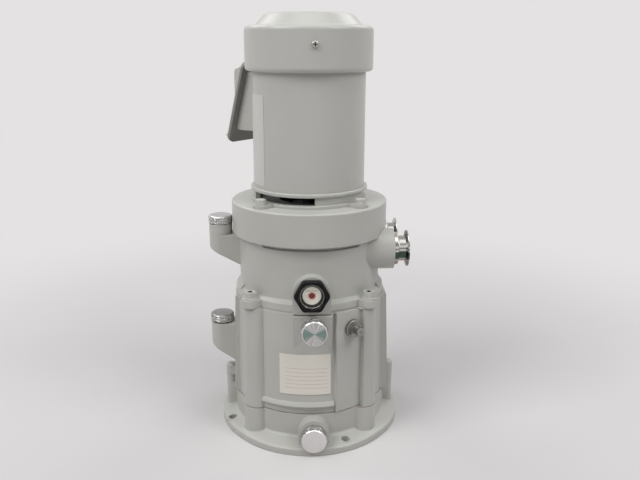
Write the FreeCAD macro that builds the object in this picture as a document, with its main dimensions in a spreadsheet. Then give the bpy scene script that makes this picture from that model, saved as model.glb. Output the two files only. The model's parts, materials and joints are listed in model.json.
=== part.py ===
import FreeCAD, Part
import math
import os

import Sketcher

# Driving dimensions in millimetres, with angles in degrees. An azimuth is measured
# about the vertical axis from the front of the pump (-Y) towards its ports (+X).
SIZES = {
    # base casting
    "base_radius": 105.0,
    "base_front_radius": 98.0,
    "base_front_offset": 10.8,
    "base_wall_overhang": 0.6,
    "base_rim_height": 8.0,
    "base_slope_height": 12.0,
    "base_wall": 7.0,
    "base_height": 38.5,
    "base_floor": 7.0,
    "base_relief_depth": 3.0,
    "base_relief_radius": 80.0,
    "foot_hole_reach": 98.0,
    "foot_hole_radius": 4.5,
    "foot_hole_azimuth": 22.0,
    "foot_pad_radius": 6.8,
    "foot_pad_rise": 1.2,
    "pillar_reach": 94.5,
    "pillar_radius": 5.2,
    "pillar_rise": 9.0,
    "pillar_bolt_radius": 2.5,
    "base_seat_height": 6.0,
    "pillar_bolt_grip": 10.0,
    "pillar_back_azimuth": 150.0,
    "drain_height": 21.6,
    "drain_cap_drop": 2.9,
    "drain_boss_radius": 16.5,
    "drain_offset": 1.5,
    "drain_boss_reach": 100.5,
    "gasket": 1.0,
    # oil casing
    "lower_top_radius": 85.6,
    "lower_foot_radius": 87.4,
    "lower_bore": 79.0,
    "lower_height": 115.5,
    "lower_lug_height": 14.5,
    "ledge_bore": 75.0,
    "ledge_depth": 10.0,
    "rib_rise": 8.3,
    "rib_thickness": 3.6,
    "rib_height": 5.0,
    "rib_azimuth": -39.5,
    "rib_sweep": 55.5,
    "pad_width": 41.5,
    "pad_offset": 1.3,
    "pad_reach": 91.2,
    "pad_drop": 40.0,
    "pad_fade": 7.0,
    "side_pad_width": 50.0,
    "side_pad_reach": 87.0,
    "side_pad_draft": 4.0,
    "side_pad_inset": 2.4,
    "column_reach": 83.0,
    "column_radius": 13.5,
    "column_draft": 1.6,
    "front_port_drop": 14.9,
    "front_port_offset": 2.3,
    "port_neck_radius": 13.0,
    "port_neck_reach": 94.0,
    "plug_azimuth": 30.3,
    "plug_drop": 20.2,
    "plug_reach": 87.8,
    "plug_panel_width": 42.0,
    "plug_collar_radius": 10.0,
    "plug_collar": 4.0,
    "plug_flats": 14.0,
    "plug_hex": 5.0,
    "plug_nose_radius": 4.75,
    "plug_nose": 7.0,
    "plug_bore": 6.0,
    "rating_plate_width": 55.5,
    "rating_plate_height": 46.5,
    "rating_plate_rise": 22.7,
    "rating_plate_thickness": 0.7,
    "rating_plate_azimuth": -5.0,
    # upper casing
    "upper_radius": 79.6,
    "upper_bore": 74.0,
    "upper_height": 71.0,
    "lip_radius": 84.5,
    "lip_height": 8.5,
    "lip_slope": 2.6,
    "flare_height": 7.0,
    "flare_sweep": 44.0,
    "casing_bolt_reach": 90.5,
    "casing_bolt_turn": -1.5,
    "casing_bolt_depth": 12.0,
    "spotface_radius": 8.9,
    "casing_lug_radius": 10.0,
    "casing_lug_rise": 9.0,
    "recess_depth": 1.8,
    "recess_height": 5.0,
    "recess_half_sweep": 40.0,
    "sight_rise": 21.3,
    "sight_boss_radius": 20.5,
    "sight_boss_reach": 90.0,
    "sight_bore": 13.0,
    "bezel_depth": 6.2,
    "bezel_flats": 34.0,
    "bezel_face_radius": 17.4,
    "bezel_opening": 12.8,
    "lens_thickness": 4.0,
    "sight_disc_radius": 9.5,
    "sight_disc_thickness": 1.2,
    # filler elbows and their caps
    "elbow_reach": 100.8,
    "lower_elbow_reach": 102.4,
    "elbow_radius": 13.0,
    "elbow_bore": 8.6,
    "elbow_floor": 4.4,
    "lower_elbow_web_drop": 1.0,
    "elbow_web_drop": 12.0,
    "elbow_knee_drop": 27.5,
    "elbow_foot_drop": 46.0,
    "upper_elbow_rise": 7.5,
    "lower_elbow_rise": 77.4,
    "cap_radius": 14.1,
    "filler_cap_radius": 13.4,
    "filler_cap_height": 8.8,
    "cap_height": 10.8,
    "cap_lift": 0.6,
    "cap_spigot": 9.0,
    "cap_thread_gap": 0.3,
    "seal_radius": 11.2,
    "seal_section": 1.1,
    "seal_gap": 0.2,
    # gas ports with their clamp flanges
    "port_offset": 30.0,
    "port_rise": 54.8,
    "port_boss_radius": 22.5,
    "port_boss_reach": 92.0,
    "exhaust_setback": 4.5,
    "port_bore": 12.0,
    "port_spigot_radius": 15.0,
    "port_spigot_depth": 12.0,
    "port_collar_radius": 18.0,
    "port_collar_length": 5.0,
    "port_neck": 14.0,
    "port_neck_length": 8.0,
    "clamp_flange_radius": 20.0,
    "clamp_flange_rim": 1.6,
    "clamp_flange_taper": 1.8,
    "centring_radius": 13.1,
    "centring_depth": 3.0,
    "intake_pipe_radius": 9.0,
    "intake_pipe_wall": 1.5,
    "intake_pipe_x": 52.0,
    "intake_pipe_bend": 14.0,
    # scroll set
    "frame_flange": 5.0,
    "frame_radius": 78.7,
    "frame_plate_radius": 72.0,
    "frame_plate": 11.0,
    "frame_opening": 30.0,
    "vent_reach": 70.5,
    "vent_radius": 3.0,
    "vent_count": 8,
    "wrap_pitch": 18.0,
    "wrap_wall": 4.0,
    "wrap_height": 24.0,
    "wrap_start": 12.0,
    "wrap_half_turns": 5,
    "flank_gap": 0.4,
    "tip_gap": 0.3,
    "fixed_radius": 67.0,
    "fixed_pocket": 60.6,
    "fixed_plate": 9.0,
    "discharge_radius": 5.0,
    "orbit_plate": 9.0,
    "orbit_plate_radius": 55.2,
    "orbit_hub_radius": 20.0,
    "orbit_hub_height": 16.0,
    "drive_bearing_radius": 13.0,
    "eccentric_radius": 7.5,
    "running_gap": 0.08,
    "pin_crank_reach": 46.0,
    "pin_crank_radius": 4.0,
    "pin_crank_web_radius": 10.0,
    "pin_crank_web": 4.3,
    "pin_crank_depth": 7.0,
    "scroll_bolt_reach": 63.8,
    "scroll_bolt_radius": 1.9,
    # crankshaft, its bearing and seal
    "crank_radius": 10.0,
    "crank_web_radius": 24.0,
    "crank_web": 9.0,
    "crank_web_clearance": 1.0,
    "crank_shoulder_radius": 13.0,
    "counterweight_radius": 44.0,
    "crank_bearing_radius": 23.5,
    "crank_bearing_width": 14.0,
    "bearing_ring": 4.5,
    "bearing_shield": 1.0,
    "shaft_seal_radius": 16.0,
    "shaft_seal_width": 7.0,
    # motor adapter
    "adapter_radius": 87.0,
    "adapter_height": 36.0,
    "adapter_plate": 12.0,
    "adapter_skirt_bore": 76.0,
    "adapter_well_radius": 34.0,
    "adapter_well_depth": 41.0,
    "adapter_hub_radius": 39.5,
    "adapter_hub_depth": 73.5,
    "notch_gap": 0.6,
    "bracket_bolt_reach": 74.5,
    "bracket_column_radius": 7.0,
    "bracket_bolt_depth": 51.0,
    # coupling
    "coupling_radius": 19.5,
    "coupling_hub": 13.0,
    "coupling_jaw": 8.0,
    "coupling_gap": 0.3,
    "coupling_jaw_sweep": 38.0,
    # motor bracket
    "bracket_overhang": 3.5,
    "bracket_wall": 9.0,
    "bracket_waist": 2.5,
    "bracket_rim": 4.0,
    "bracket_height": 16.0,
    "bracket_foot": 3.5,
    "bracket_ear_radius": 8.5,
    "bracket_plate_depth": 4.0,
    "window_height": 8.0,
    "window_sweep": 75.5,
    "window_azimuth": -71.5,
    "window_side_azimuth": 64.0,
    "window_back_azimuth": 178.0,
    "motor_hub_radius": 24.0,
    # motor
    "shell_radius": 61.5,
    "shell_wall": 2.5,
    "shell_length": 131.0,
    "spigot_gap": 0.1,
    "spigot_depth": 6.0,
    "motor_shaft_radius": 7.5,
    "motor_core_shaft_radius": 9.0,
    "motor_bearing_radius": 17.5,
    "motor_bearing_width": 11.0,
    "stator_length": 60.0,
    "stator_level": 37.0,
    "air_gap": 0.5,
    "rotor_radius": 33.5,
    "slot_width": 8.5,
    "slot_inset": 11.5,
    "slot_count": 12,
    "slot_clearance": 0.4,
    "end_turn_height": 13.0,
    "end_ring_height": 6.0,
    "end_ring_bore": 22.0,
    "top_bracket_flange": 5.0,
    "top_bracket_plate": 7.0,
    "cover_ear_width": 12.0,
    "cover_ear_depth": 10.0,
    "cover_ear_top": 24.0,
    # fan and its cover
    "fan_shaft_radius": 6.0,
    "fan_inset": 9.5,
    "fan_hub_radius": 11.0,
    "fan_height": 15.0,
    "fan_rise": 8.0,
    "fan_blade": 2.0,
    "fan_blades": 8,
    "cover_overhang": 7.6,
    "cover_wall": 1.8,
    "cover_curl": 4.5,
    "cover_height": 47.0,
    "cover_overlap": 8.0,
    "cover_shoulder": 5.5,
    "dome_inset": 11.3,
    "dome_top_inset": 22.8,
    "dome_height": 12.5,
    "grille_slots": 12,
    "grille_slot_width": 4.0,
    "grille_inner": 13.0,
    "grille_inset": 27.8,
    "cover_screw_azimuth": 3.5,
    "cover_screw_height": 27.5,
    "cover_screw_count": 3,
    # terminal box
    "terminal_azimuth": -127.7,
    "terminal_foot_rise": 35.9,
    "terminal_head_rise": 9.4,
    "terminal_foot_lift": 41.0,
    "terminal_head_lift": 132.0,
    "terminal_plate_width": 50.0,
    "terminal_plate": 3.0,
    "terminal_width": 33.0,
    "terminal_wall": 3.0,
    "terminal_margin": 14.5,
    "terminal_head_margin": 11.0,
    "lid_width": 40.0,
    "lid_rise": 28.5,
    "lid_foot_margin": 13.0,
    "lid_knee": 44.0,
    "lid_wall": 2.0,
    "lid_flange": 1.2,
    "gland_radius": 8.0,
    "gland_bore": 4.0,
    "gland_length": 14.0,
    # fasteners
    "hole_gap": 0.4,
}

BRACKET_AZIMUTHS = (45.0, 135.0, 225.0, 315.0)


def text_of(number):
    """Gives the sheet expression of a number."""
    if isinstance(number, Size):
        return number.text
    return f"({float(number):.9g})"


class Size(float):
    """A number that remembers the sheet expression it was worked out from."""

    def __new__(cls, value, text):
        size = super().__new__(cls, value)
        size.text = text
        return size

    def __add__(self, other):
        return Size(float(self) + float(other), f"({self.text} + {text_of(other)})")

    def __radd__(self, other):
        return Size(float(other) + float(self), f"({text_of(other)} + {self.text})")

    def __sub__(self, other):
        return Size(float(self) - float(other), f"({self.text} - {text_of(other)})")

    def __rsub__(self, other):
        return Size(float(other) - float(self), f"({text_of(other)} - {self.text})")

    def __mul__(self, other):
        return Size(float(self) * float(other), f"({self.text} * {text_of(other)})")

    def __rmul__(self, other):
        return Size(float(other) * float(self), f"({text_of(other)} * {self.text})")

    def __truediv__(self, other):
        return Size(float(self) / float(other), f"({self.text} / {text_of(other)})")

    def __neg__(self):
        return Size(-float(self), f"(-{self.text})")


class Sheet:
    """The spreadsheet of driving dimensions, read back as one named Size each."""

    def __init__(self, document, sizes):
        sheet = document.addObject("Spreadsheet::Sheet", "Sizes")
        for row, (alias, value) in enumerate(sizes.items(), start=1):
            sheet.set(f"A{row}", alias.replace("_", " "))
            sheet.set(f"B{row}", f"{value}")
            sheet.setAlias(f"B{row}", alias)
            setattr(self, alias, Size(value, f"Sizes.{alias}"))
        document.recompute()


def sine(angle):
    """Sine of an angle in degrees, as a Size where the angle is one."""
    if isinstance(angle, Size):
        return Size(math.sin(math.radians(angle)), f"sin({angle.text} * 1 deg)")
    return math.sin(math.radians(angle))


def cosine(angle):
    """Cosine of an angle in degrees, as a Size where the angle is one."""
    if isinstance(angle, Size):
        return Size(math.cos(math.radians(angle)), f"cos({angle.text} * 1 deg)")
    return math.cos(math.radians(angle))


def around(reach, azimuth):
    """The point at a distance from the main axis, in the direction of an azimuth."""
    return reach * sine(azimuth), -(reach * cosine(azimuth))


def outward(azimuth):
    """The rotation that turns +X to an azimuth and keeps +Z up."""
    return FreeCAD.Rotation(FreeCAD.Vector(0, 0, 1), azimuth - 90)


TURNS = {
    "Z": FreeCAD.Rotation(),
    "-Z": FreeCAD.Rotation(FreeCAD.Vector(1, 0, 0), 180),
    "X": FreeCAD.Rotation(FreeCAD.Vector(0, 1, 0), 90),
    "-X": FreeCAD.Rotation(FreeCAD.Vector(0, 1, 0), -90),
    "-Y": FreeCAD.Rotation(FreeCAD.Vector(1, 0, 0), 90),
    "Y": FreeCAD.Rotation(FreeCAD.Vector(1, 0, 0), -90),
}

doc = FreeCAD.newDocument("ScrollPump")
s = Sheet(doc, SIZES)
nodes = []


def keep(node, name):
    """Names a finished piece, so that it is written out."""
    node.Label = name
    nodes.append(node)
    return node


def bind(thing, prop, value):
    """Sets a property, and binds it to the sheet where its value is a Size."""
    if isinstance(value, Size):
        thing.setExpression(prop, value.text)
    else:
        setattr(thing, prop, value)


def place(thing, x=0.0, y=0.0, z=0.0, turn="Z"):
    """Places an object, with each coordinate bound to the sheet where it is a Size."""
    rotation = TURNS[turn] if isinstance(turn, str) else turn
    thing.Placement = FreeCAD.Placement(FreeCAD.Vector(x, y, z), rotation)
    for letter, value in zip("xyz", (x, y, z)):
        if isinstance(value, Size):
            thing.setExpression(f".Placement.Base.{letter}", value.text)
    return thing


def cylinder(name, radius, length, x=0.0, y=0.0, z=0.0, turn="Z", sweep=360.0):
    """A cylinder, or a sector of one, from its end's centre along its axis."""
    thing = doc.addObject("Part::Cylinder", name)
    bind(thing, "Radius", radius)
    bind(thing, "Height", length)
    bind(thing, "Angle", sweep)
    return place(thing, x, y, z, turn)


def cone(name, radius, end_radius, length, x=0.0, y=0.0, z=0.0, turn="Z", sweep=360.0):
    """A truncated cone, or a sector of one."""
    thing = doc.addObject("Part::Cone", name)
    bind(thing, "Radius1", radius)
    bind(thing, "Radius2", end_radius)
    bind(thing, "Height", length)
    bind(thing, "Angle", sweep)
    return place(thing, x, y, z, turn)


def box(name, length, width, height, x=0.0, y=0.0, z=0.0, turn="Z"):
    """A box from its corner along its own X, Y and Z."""
    thing = doc.addObject("Part::Box", name)
    bind(thing, "Length", length)
    bind(thing, "Width", width)
    bind(thing, "Height", height)
    return place(thing, x, y, z, turn)


def arm(name, reach, width, height, z, azimuth, start=0.0):
    """A box that runs out from the main axis in the direction of an azimuth."""
    side = azimuth - 90.0
    x = start * cosine(side) + (width / 2) * sine(side)
    y = start * sine(side) - (width / 2) * cosine(side)
    return box(name, reach - start, width, height, x, y, z, outward(azimuth))


def hexagon(name, across_flats, height, x=0.0, y=0.0, z=0.0, turn="Z"):
    """A hexagonal prism given by its size across the flats."""
    thing = doc.addObject("Part::Prism", name)
    thing.Polygon = 6
    bind(thing, "Circumradius", across_flats / math.sqrt(3.0))
    bind(thing, "Height", height)
    return place(thing, x, y, z, turn)


def torus(name, radius, section, x=0.0, y=0.0, z=0.0, turn="Z"):
    """A ring of round section."""
    thing = doc.addObject("Part::Torus", name)
    bind(thing, "Radius1", radius)
    bind(thing, "Radius2", section)
    return place(thing, x, y, z, turn)


def fuse(name, pieces):
    """Joins solids into one."""
    thing = doc.addObject("Part::MultiFuse", name)
    thing.Shapes = pieces
    thing.Refine = True
    return thing


def cut(name, solid, tools):
    """Takes one tool, or a list of them, away from a solid."""
    thing = doc.addObject("Part::Cut", name)
    thing.Base = solid
    thing.Tool = tools[0] if len(tools) == 1 else fuse(f"{name}_tools", tools)
    thing.Refine = True
    return thing


def common(name, pieces):
    """Keeps what two solids share."""
    thing = doc.addObject("Part::MultiCommon", name)
    thing.Shapes = pieces
    thing.Refine = True
    return thing


def group(name, pieces):
    """Holds separate equal solids as one sub-part."""
    thing = doc.addObject("Part::Compound", name)
    thing.Links = pieces
    return thing


def origin_plane(body, role):
    """One of a body's own origin planes."""
    return next(f for f in body.Origin.OriginFeatures if f.Role == role)


def corner_points(outline, index):
    """The ends of an outline's corner: one point, or an arc's start, end and centre."""
    x, y = outline[index][0], outline[index][1]
    if len(outline[index]) < 3:
        return [(x, y)], None
    radius = outline[index][2]
    corner = FreeCAD.Vector(x, y, 0)
    before = outline[index - 1]
    after = outline[(index + 1) % len(outline)]
    back = (FreeCAD.Vector(before[0], before[1], 0) - corner).normalize()
    ahead = (FreeCAD.Vector(after[0], after[1], 0) - corner).normalize()
    half = back.getAngle(ahead) / 2
    run = radius * (1.0 / math.tan(half))
    middle = (back + ahead).normalize()
    reach = radius * (1.0 / math.sin(half))
    start = (x + run * back.x, y + run * back.y)
    end = (x + run * ahead.x, y + run * ahead.y)
    centre = (x + reach * middle.x, y + reach * middle.y)
    left_turn = back.cross(ahead).z < 0
    return [start, end], (centre, radius, left_turn)


def draw_outline(sketch, outline):
    """Draws a closed outline of lines, with an arc at each corner that has a radius."""
    points = []
    pieces = []
    for index in range(len(outline)):
        ends, arc = corner_points(outline, index)
        if arc is not None:
            pieces.append((len(points), arc))
        points.extend(ends)
    arcs = dict(pieces)
    ends_of = []
    count = len(points)
    for index in range(count):
        first = FreeCAD.Vector(*points[index], 0)
        second = FreeCAD.Vector(*points[(index + 1) % count], 0)
        if index not in arcs:
            sketch.addGeometry(Part.LineSegment(first, second))
            ends_of.append((1, 2))
            continue
        centre, radius, left_turn = arcs[index]
        middle = FreeCAD.Vector(*centre, 0)
        circle = Part.Circle(middle, FreeCAD.Vector(0, 0, 1), float(radius))
        first_angle = math.atan2(first.y - middle.y, first.x - middle.x)
        second_angle = math.atan2(second.y - middle.y, second.x - middle.x)
        if not left_turn:
            first_angle, second_angle = second_angle, first_angle
        if second_angle < first_angle:
            second_angle += 2 * math.pi
        sketch.addGeometry(Part.ArcOfCircle(circle, first_angle, second_angle))
        ends_of.append((1, 2) if left_turn else (2, 1))
    for index in range(count):
        following = (index + 1) % count
        sketch.addConstraint(Sketcher.Constraint(
            "Coincident", index, ends_of[index][1], following, ends_of[following][0]))
        fix_point(sketch, index, ends_of[index][0], points[index])
        if index in arcs:
            add_bound(sketch, ("Radius", index), arcs[index][1])


def add_bound(sketch, where, value):
    """Adds a sketch dimension, bound to the sheet where its value is a Size."""
    number = sketch.addConstraint(Sketcher.Constraint(*where, float(value)))
    if isinstance(value, Size):
        sketch.setExpression(f"Constraints[{number}]", value.text)


def fix_point(sketch, element, end, point):
    """Ties one end of a sketch element to its two coordinates."""
    for kind, axis, value in (("DistanceX", -2, point[0]), ("DistanceY", -1, point[1])):
        if value == 0 and not isinstance(value, Size):
            sketch.addConstraint(Sketcher.Constraint("PointOnObject", element, end, axis))
        else:
            add_bound(sketch, (kind, -1, 1, element, end), value)


def add_sketch(body, name, role):
    """A sketch on one of the body's own origin planes."""
    sketch = body.newObject("Sketcher::SketchObject", name)
    sketch.AttachmentSupport = (origin_plane(body, role), [""])
    sketch.MapMode = "FlatFace"
    return sketch


def revolved(name, outline, x=0.0, y=0.0, z=0.0, turn="Z"):
    """A body turned about its own Z from an outline of (radius, height) points."""
    body = doc.addObject("PartDesign::Body", name)
    sketch = add_sketch(body, f"{name}_profile", "XZ_Plane")
    draw_outline(sketch, outline)
    turned = body.newObject("PartDesign::Revolution", f"{name}_turned")
    turned.Profile = sketch
    turned.ReferenceAxis = (sketch, ["V_Axis"])
    turned.Angle = 360.0
    return place(body, x, y, z, turn)


def padded(name, outline, length, role="XY_Plane", x=0.0, y=0.0, z=0.0, turn="Z", both=False):
    """A body extruded from an outline, to one side or to both sides of its plane."""
    body = doc.addObject("PartDesign::Body", name)
    sketch = add_sketch(body, f"{name}_outline", role)
    draw_outline(sketch, outline)
    pad = body.newObject("PartDesign::Pad", f"{name}_pad")
    pad.Profile = sketch
    pad.SideType = "Symmetric" if both else "One side"
    bind(pad, "Length", length)
    return place(body, x, y, z, turn)


def rounded_rectangle(width, height, radius):
    """An outline about the origin with four round corners."""
    right = width / 2
    top = height / 2
    return [(-right, -top, radius), (right, -top, radius), (right, top, radius), (-right, top, radius)]


# Levels of the faces that the castings and the motor stand on, from the base up.
BASE_TOP = s.base_height
LOWER_FOOT = BASE_TOP + s.gasket
LOWER_TOP = LOWER_FOOT + s.lower_height
UPPER_FOOT = LOWER_TOP + s.gasket
ADAPTER_FOOT = UPPER_FOOT + s.upper_height
ADAPTER_TOP = ADAPTER_FOOT + s.adapter_height
SHELL_FOOT = ADAPTER_TOP + s.bracket_height
SHELL_TOP = SHELL_FOOT + s.shell_length
COVER_FOOT = SHELL_TOP - s.cover_overlap
COVER_TOP = COVER_FOOT + s.cover_height

# Levels of what stands on the castings' sides.
SIGHT_LEVEL = UPPER_FOOT + s.sight_rise
PORT_LEVEL = UPPER_FOOT + s.port_rise
UPPER_ELBOW_TOP = ADAPTER_FOOT + s.upper_elbow_rise
LOWER_ELBOW_TOP = LOWER_FOOT + s.lower_elbow_rise
FRONT_PORT_LEVEL = LOWER_TOP - s.front_port_drop
PLUG_LEVEL = LOWER_TOP - s.plug_drop
PILLAR_TOP = BASE_TOP + s.pillar_rise
DRAIN_LEVEL = s.drain_height - s.drain_cap_drop

# Radii that follow the casing's wall or the motor's shell.
BASE_WALL_RADIUS = s.lower_foot_radius + s.base_wall_overhang
BRACKET_RADIUS = s.shell_radius + s.bracket_overhang
BRACKET_BORE = BRACKET_RADIUS - s.bracket_wall
SLOT_REACH = s.shell_radius - s.slot_inset
FAN_RADIUS = s.shell_radius - s.fan_inset
COVER_RADIUS = s.shell_radius + s.cover_overhang
DOME_RADIUS = COVER_RADIUS - s.dome_inset
DOME_TOP_RADIUS = COVER_RADIUS - s.dome_top_inset

# Levels inside the scroll set, hung from the frame between the two casings.
FRAME_FOOT = UPPER_FOOT - s.frame_flange
FRAME_TOP = FRAME_FOOT + s.frame_plate
ORBIT_TOP = FRAME_FOOT - s.tip_gap
ORBIT_FOOT = ORBIT_TOP - s.orbit_plate
FIXED_TOP = ORBIT_FOOT - s.tip_gap - s.wrap_height
FIXED_FOOT = FIXED_TOP - s.fixed_plate
ORBIT_RADIUS = s.wrap_pitch / 2 - s.wrap_wall - s.flank_gap
HUB_TOP = ORBIT_TOP + s.orbit_hub_height

# Levels along the crankshaft, hung from the adapter.
WELL_FLOOR = ADAPTER_TOP - s.adapter_well_depth
SEAL_FOOT = WELL_FLOOR - s.shaft_seal_width
ADAPTER_HUB_FOOT = ADAPTER_TOP - s.adapter_hub_depth
CRANK_BEARING_TOP = SEAL_FOOT - 1.0
CRANK_BEARING_FOOT = CRANK_BEARING_TOP - s.crank_bearing_width
CRANK_WEB_TOP = ADAPTER_HUB_FOOT - s.crank_web_clearance
CRANK_WEB_FOOT = CRANK_WEB_TOP - s.crank_web

# Levels along the coupling and the motor shaft.
COUPLING_FOOT = WELL_FLOOR + s.crank_web_clearance
COUPLING_MIDDLE = COUPLING_FOOT + s.coupling_hub
COUPLING_JAW_TOP = COUPLING_MIDDLE + s.coupling_jaw + s.coupling_gap
COUPLING_TOP = COUPLING_JAW_TOP + s.coupling_hub
MOTOR_PLATE_FOOT = SHELL_FOOT - s.bracket_plate_depth
LOWER_BEARING_FOOT = MOTOR_PLATE_FOOT + s.spigot_depth
LOWER_BEARING_TOP = LOWER_BEARING_FOOT + s.motor_bearing_width
UPPER_BEARING_TOP = SHELL_TOP - 1.0
UPPER_BEARING_FOOT = UPPER_BEARING_TOP - s.motor_bearing_width
STATOR_FOOT = SHELL_FOOT + s.stator_level
STATOR_TOP = STATOR_FOOT + s.stator_length
FAN_FOOT = SHELL_TOP + s.fan_rise


def pillar_azimuths():
    """Where the base is bolted to the oil casing."""
    return (-90.0, 90.0, s.pillar_back_azimuth, -s.pillar_back_azimuth)


def casing_azimuths():
    """Where the casings are bolted together, a quarter turn apart."""
    return tuple(s.casing_bolt_turn + 45.0 + quarter * 90.0 for quarter in range(4))


def lower_radius(level):
    """The radius of the oil casing's drafted wall at a level."""
    draft = (s.lower_foot_radius - s.lower_top_radius) / s.lower_height
    return s.lower_foot_radius - draft * (level - LOWER_FOOT)


def foot_azimuths():
    """Where the base is bolted down: four holes a quarter turn apart."""
    return tuple(s.foot_hole_azimuth + quarter * 90.0 for quarter in range(-1, 3))


def bearing_outer(name, radius, width, z):
    """A shielded bearing's outer ring, about the main axis."""
    race = radius - s.bearing_ring
    shield = race - s.bearing_ring / 2
    return revolved(name, [
        (shield, 0),
        (radius, 0),
        (radius, width),
        (shield, width),
        (shield, width - s.bearing_shield),
        (race, width - s.bearing_shield),
        (race, s.bearing_shield),
        (shield, s.bearing_shield),
    ], z=z)


def bearing_inner(name, bore, radius, width, z):
    """A bearing's inner ring, just inside the shields of its outer ring."""
    race = radius - s.bearing_ring * 1.5 - s.tip_gap
    return revolved(name, [(bore, 0), (race, 0), (race, width), (bore, width)], z=z)


def screw(name, head_radius, head_height, shank_radius, shank_length, x, y, z, turn="Z",
          socket=0.0, washer=0.0, flats=0.0):
    """A screw whose head stands on a face, with a hex head, a socket or a washer as asked."""
    rotation = TURNS[turn] if isinstance(turn, str) else turn
    out = rotation.multVec(FreeCAD.Vector(0, 0, 1))

    def along(distance):
        """The point at a distance out of the face along the screw's axis."""
        return tuple(c + distance * u if abs(u) > 1e-9 else c for c, u in zip((x, y, z), out))

    lift = 1.6 if washer else 0.0
    solids = [cylinder(f"{name}_shank", shank_radius, shank_length + lift, *along(-shank_length),
                       turn=rotation)]
    if washer:
        solids.append(cylinder(f"{name}_washer", washer, lift, x, y, z, rotation))
    if flats:
        solids.append(hexagon(f"{name}_head", flats, head_height, *along(lift), turn=rotation))
    else:
        solids.append(cylinder(f"{name}_head", head_radius, head_height, *along(lift),
                               turn=rotation))
    whole = fuse(name, solids)
    if socket:
        depth = head_height * 0.6
        whole = cut(f"{name}_socketed", whole, [
            hexagon(f"{name}_socket", socket, head_height, *along(lift + head_height - depth),
                    turn=rotation)])
    return whole


def foot_profile(radius, wall):
    """The outline of the base's rim and of the slope up to its wall."""
    return [
        (0, s.base_relief_depth),
        (s.base_relief_radius, s.base_relief_depth),
        (s.base_relief_radius, 0),
        (radius, 0),
        (radius, s.base_rim_height, 2.5),
        (wall, s.base_slope_height, 3.5),
        (wall, BASE_TOP),
        (0, BASE_TOP),
    ]


def make_base_casting():
    """The foot of the pump: a round pan with a sloped rim, columns, pillars and the drain boss."""
    offset = s.base_front_offset
    solids = [
        revolved("base_outer", foot_profile(s.base_radius, BASE_WALL_RADIUS)),
        revolved("base_front", foot_profile(s.base_front_radius, BASE_WALL_RADIUS - offset),
                 y=-offset),
    ]
    for azimuth in casing_azimuths():
        x, y = around(s.column_reach, azimuth)
        top = s.column_radius + s.column_draft
        solids.append(cone("base_column", top + s.column_draft / 2, top, BASE_TOP - 6.0,
                           x, y, 6.0))
    for azimuth in pillar_azimuths():
        x, y = around(s.pillar_reach, azimuth)
        solids.append(cylinder("base_pillar", s.pillar_radius, PILLAR_TOP - 5.0, x, y, 5.0))
        solids.append(arm("base_pillar_web", s.pillar_reach, s.pillar_radius * 2, BASE_TOP - 5.0,
                          5.0, azimuth, BASE_WALL_RADIUS - 3.0))
    for azimuth in foot_azimuths():
        x, y = around(s.foot_hole_reach, azimuth)
        height = s.base_rim_height + s.foot_pad_rise
        solids.append(cylinder("foot_pad", s.foot_pad_radius, height - 2.0, x, y, 2.0))
    inside = BASE_WALL_RADIUS - s.base_wall
    boss_length = s.drain_boss_reach - inside
    solids.append(cylinder("drain_boss", s.drain_boss_radius, boss_length, s.drain_offset,
                           -inside, s.drain_height, "-Y"))
    solids.append(box("drain_boss_foot", s.drain_boss_radius * 2, boss_length,
                      s.drain_height - 3.0, s.drain_offset - s.drain_boss_radius,
                      -s.drain_boss_reach, 3.0))
    whole = fuse("base_solid", solids)
    floor = s.base_relief_depth + s.base_floor
    tools = [revolved("base_cavity", [
        (0, floor), (inside, floor, 4.0), (inside, BASE_TOP + 1.0), (0, BASE_TOP + 1.0)])]
    for azimuth in foot_azimuths():
        x, y = around(s.foot_hole_reach, azimuth)
        tools.append(cylinder("foot_hole", s.foot_hole_radius, BASE_TOP, x, y, -1.0))
    for azimuth in pillar_azimuths():
        x, y = around(s.pillar_reach, azimuth)
        tools.append(cylinder("pillar_hole", s.pillar_bolt_radius + 0.2, PILLAR_TOP + 2.0, x, y,
                              -1.0))
        tools.append(cylinder("pillar_counterbore", 4.6, s.base_seat_height + 1.0, x, y, -1.0))
    tools.append(cylinder("drain_bore", s.elbow_bore, boss_length + 20.0, s.drain_offset,
                          -(inside - 10.0), DRAIN_LEVEL, "-Y"))
    tools.append(cylinder("drain_cap_relief", s.cap_radius + 0.6, s.cap_height * 2.0,
                          s.drain_offset, -s.drain_boss_reach, DRAIN_LEVEL, "-Y"))
    keep(cut("base_casting", whole, tools), "base_casting")


def make_base_gasket():
    """The flat seal between the base and the oil casing."""
    solids = [cylinder("base_gasket_disc", s.lower_foot_radius, s.gasket, z=BASE_TOP)]
    for azimuth in casing_azimuths():
        x, y = around(s.column_reach, azimuth)
        solids.append(cylinder("base_gasket_ear", s.column_radius + s.column_draft, s.gasket,
                               x, y, BASE_TOP))
    hole = cylinder("base_gasket_hole", s.lower_bore, s.gasket, z=BASE_TOP)
    keep(cut("base_gasket", fuse("base_gasket_solid", solids), [hole]), "base_gasket")


def make_base_bolts():
    """The screws that hold the oil casing down, from under the base's pillars."""
    screws = []
    for azimuth in pillar_azimuths():
        x, y = around(s.pillar_reach, azimuth)
        screws.append(screw("base_bolt", 4.2, 4.0, s.pillar_bolt_radius,
                            PILLAR_TOP + s.pillar_bolt_grip - s.base_seat_height, x, y,
                            s.base_seat_height, turn="-Z", socket=4.0))
    keep(group("base_bolts", screws), "base_bolts")


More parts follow.
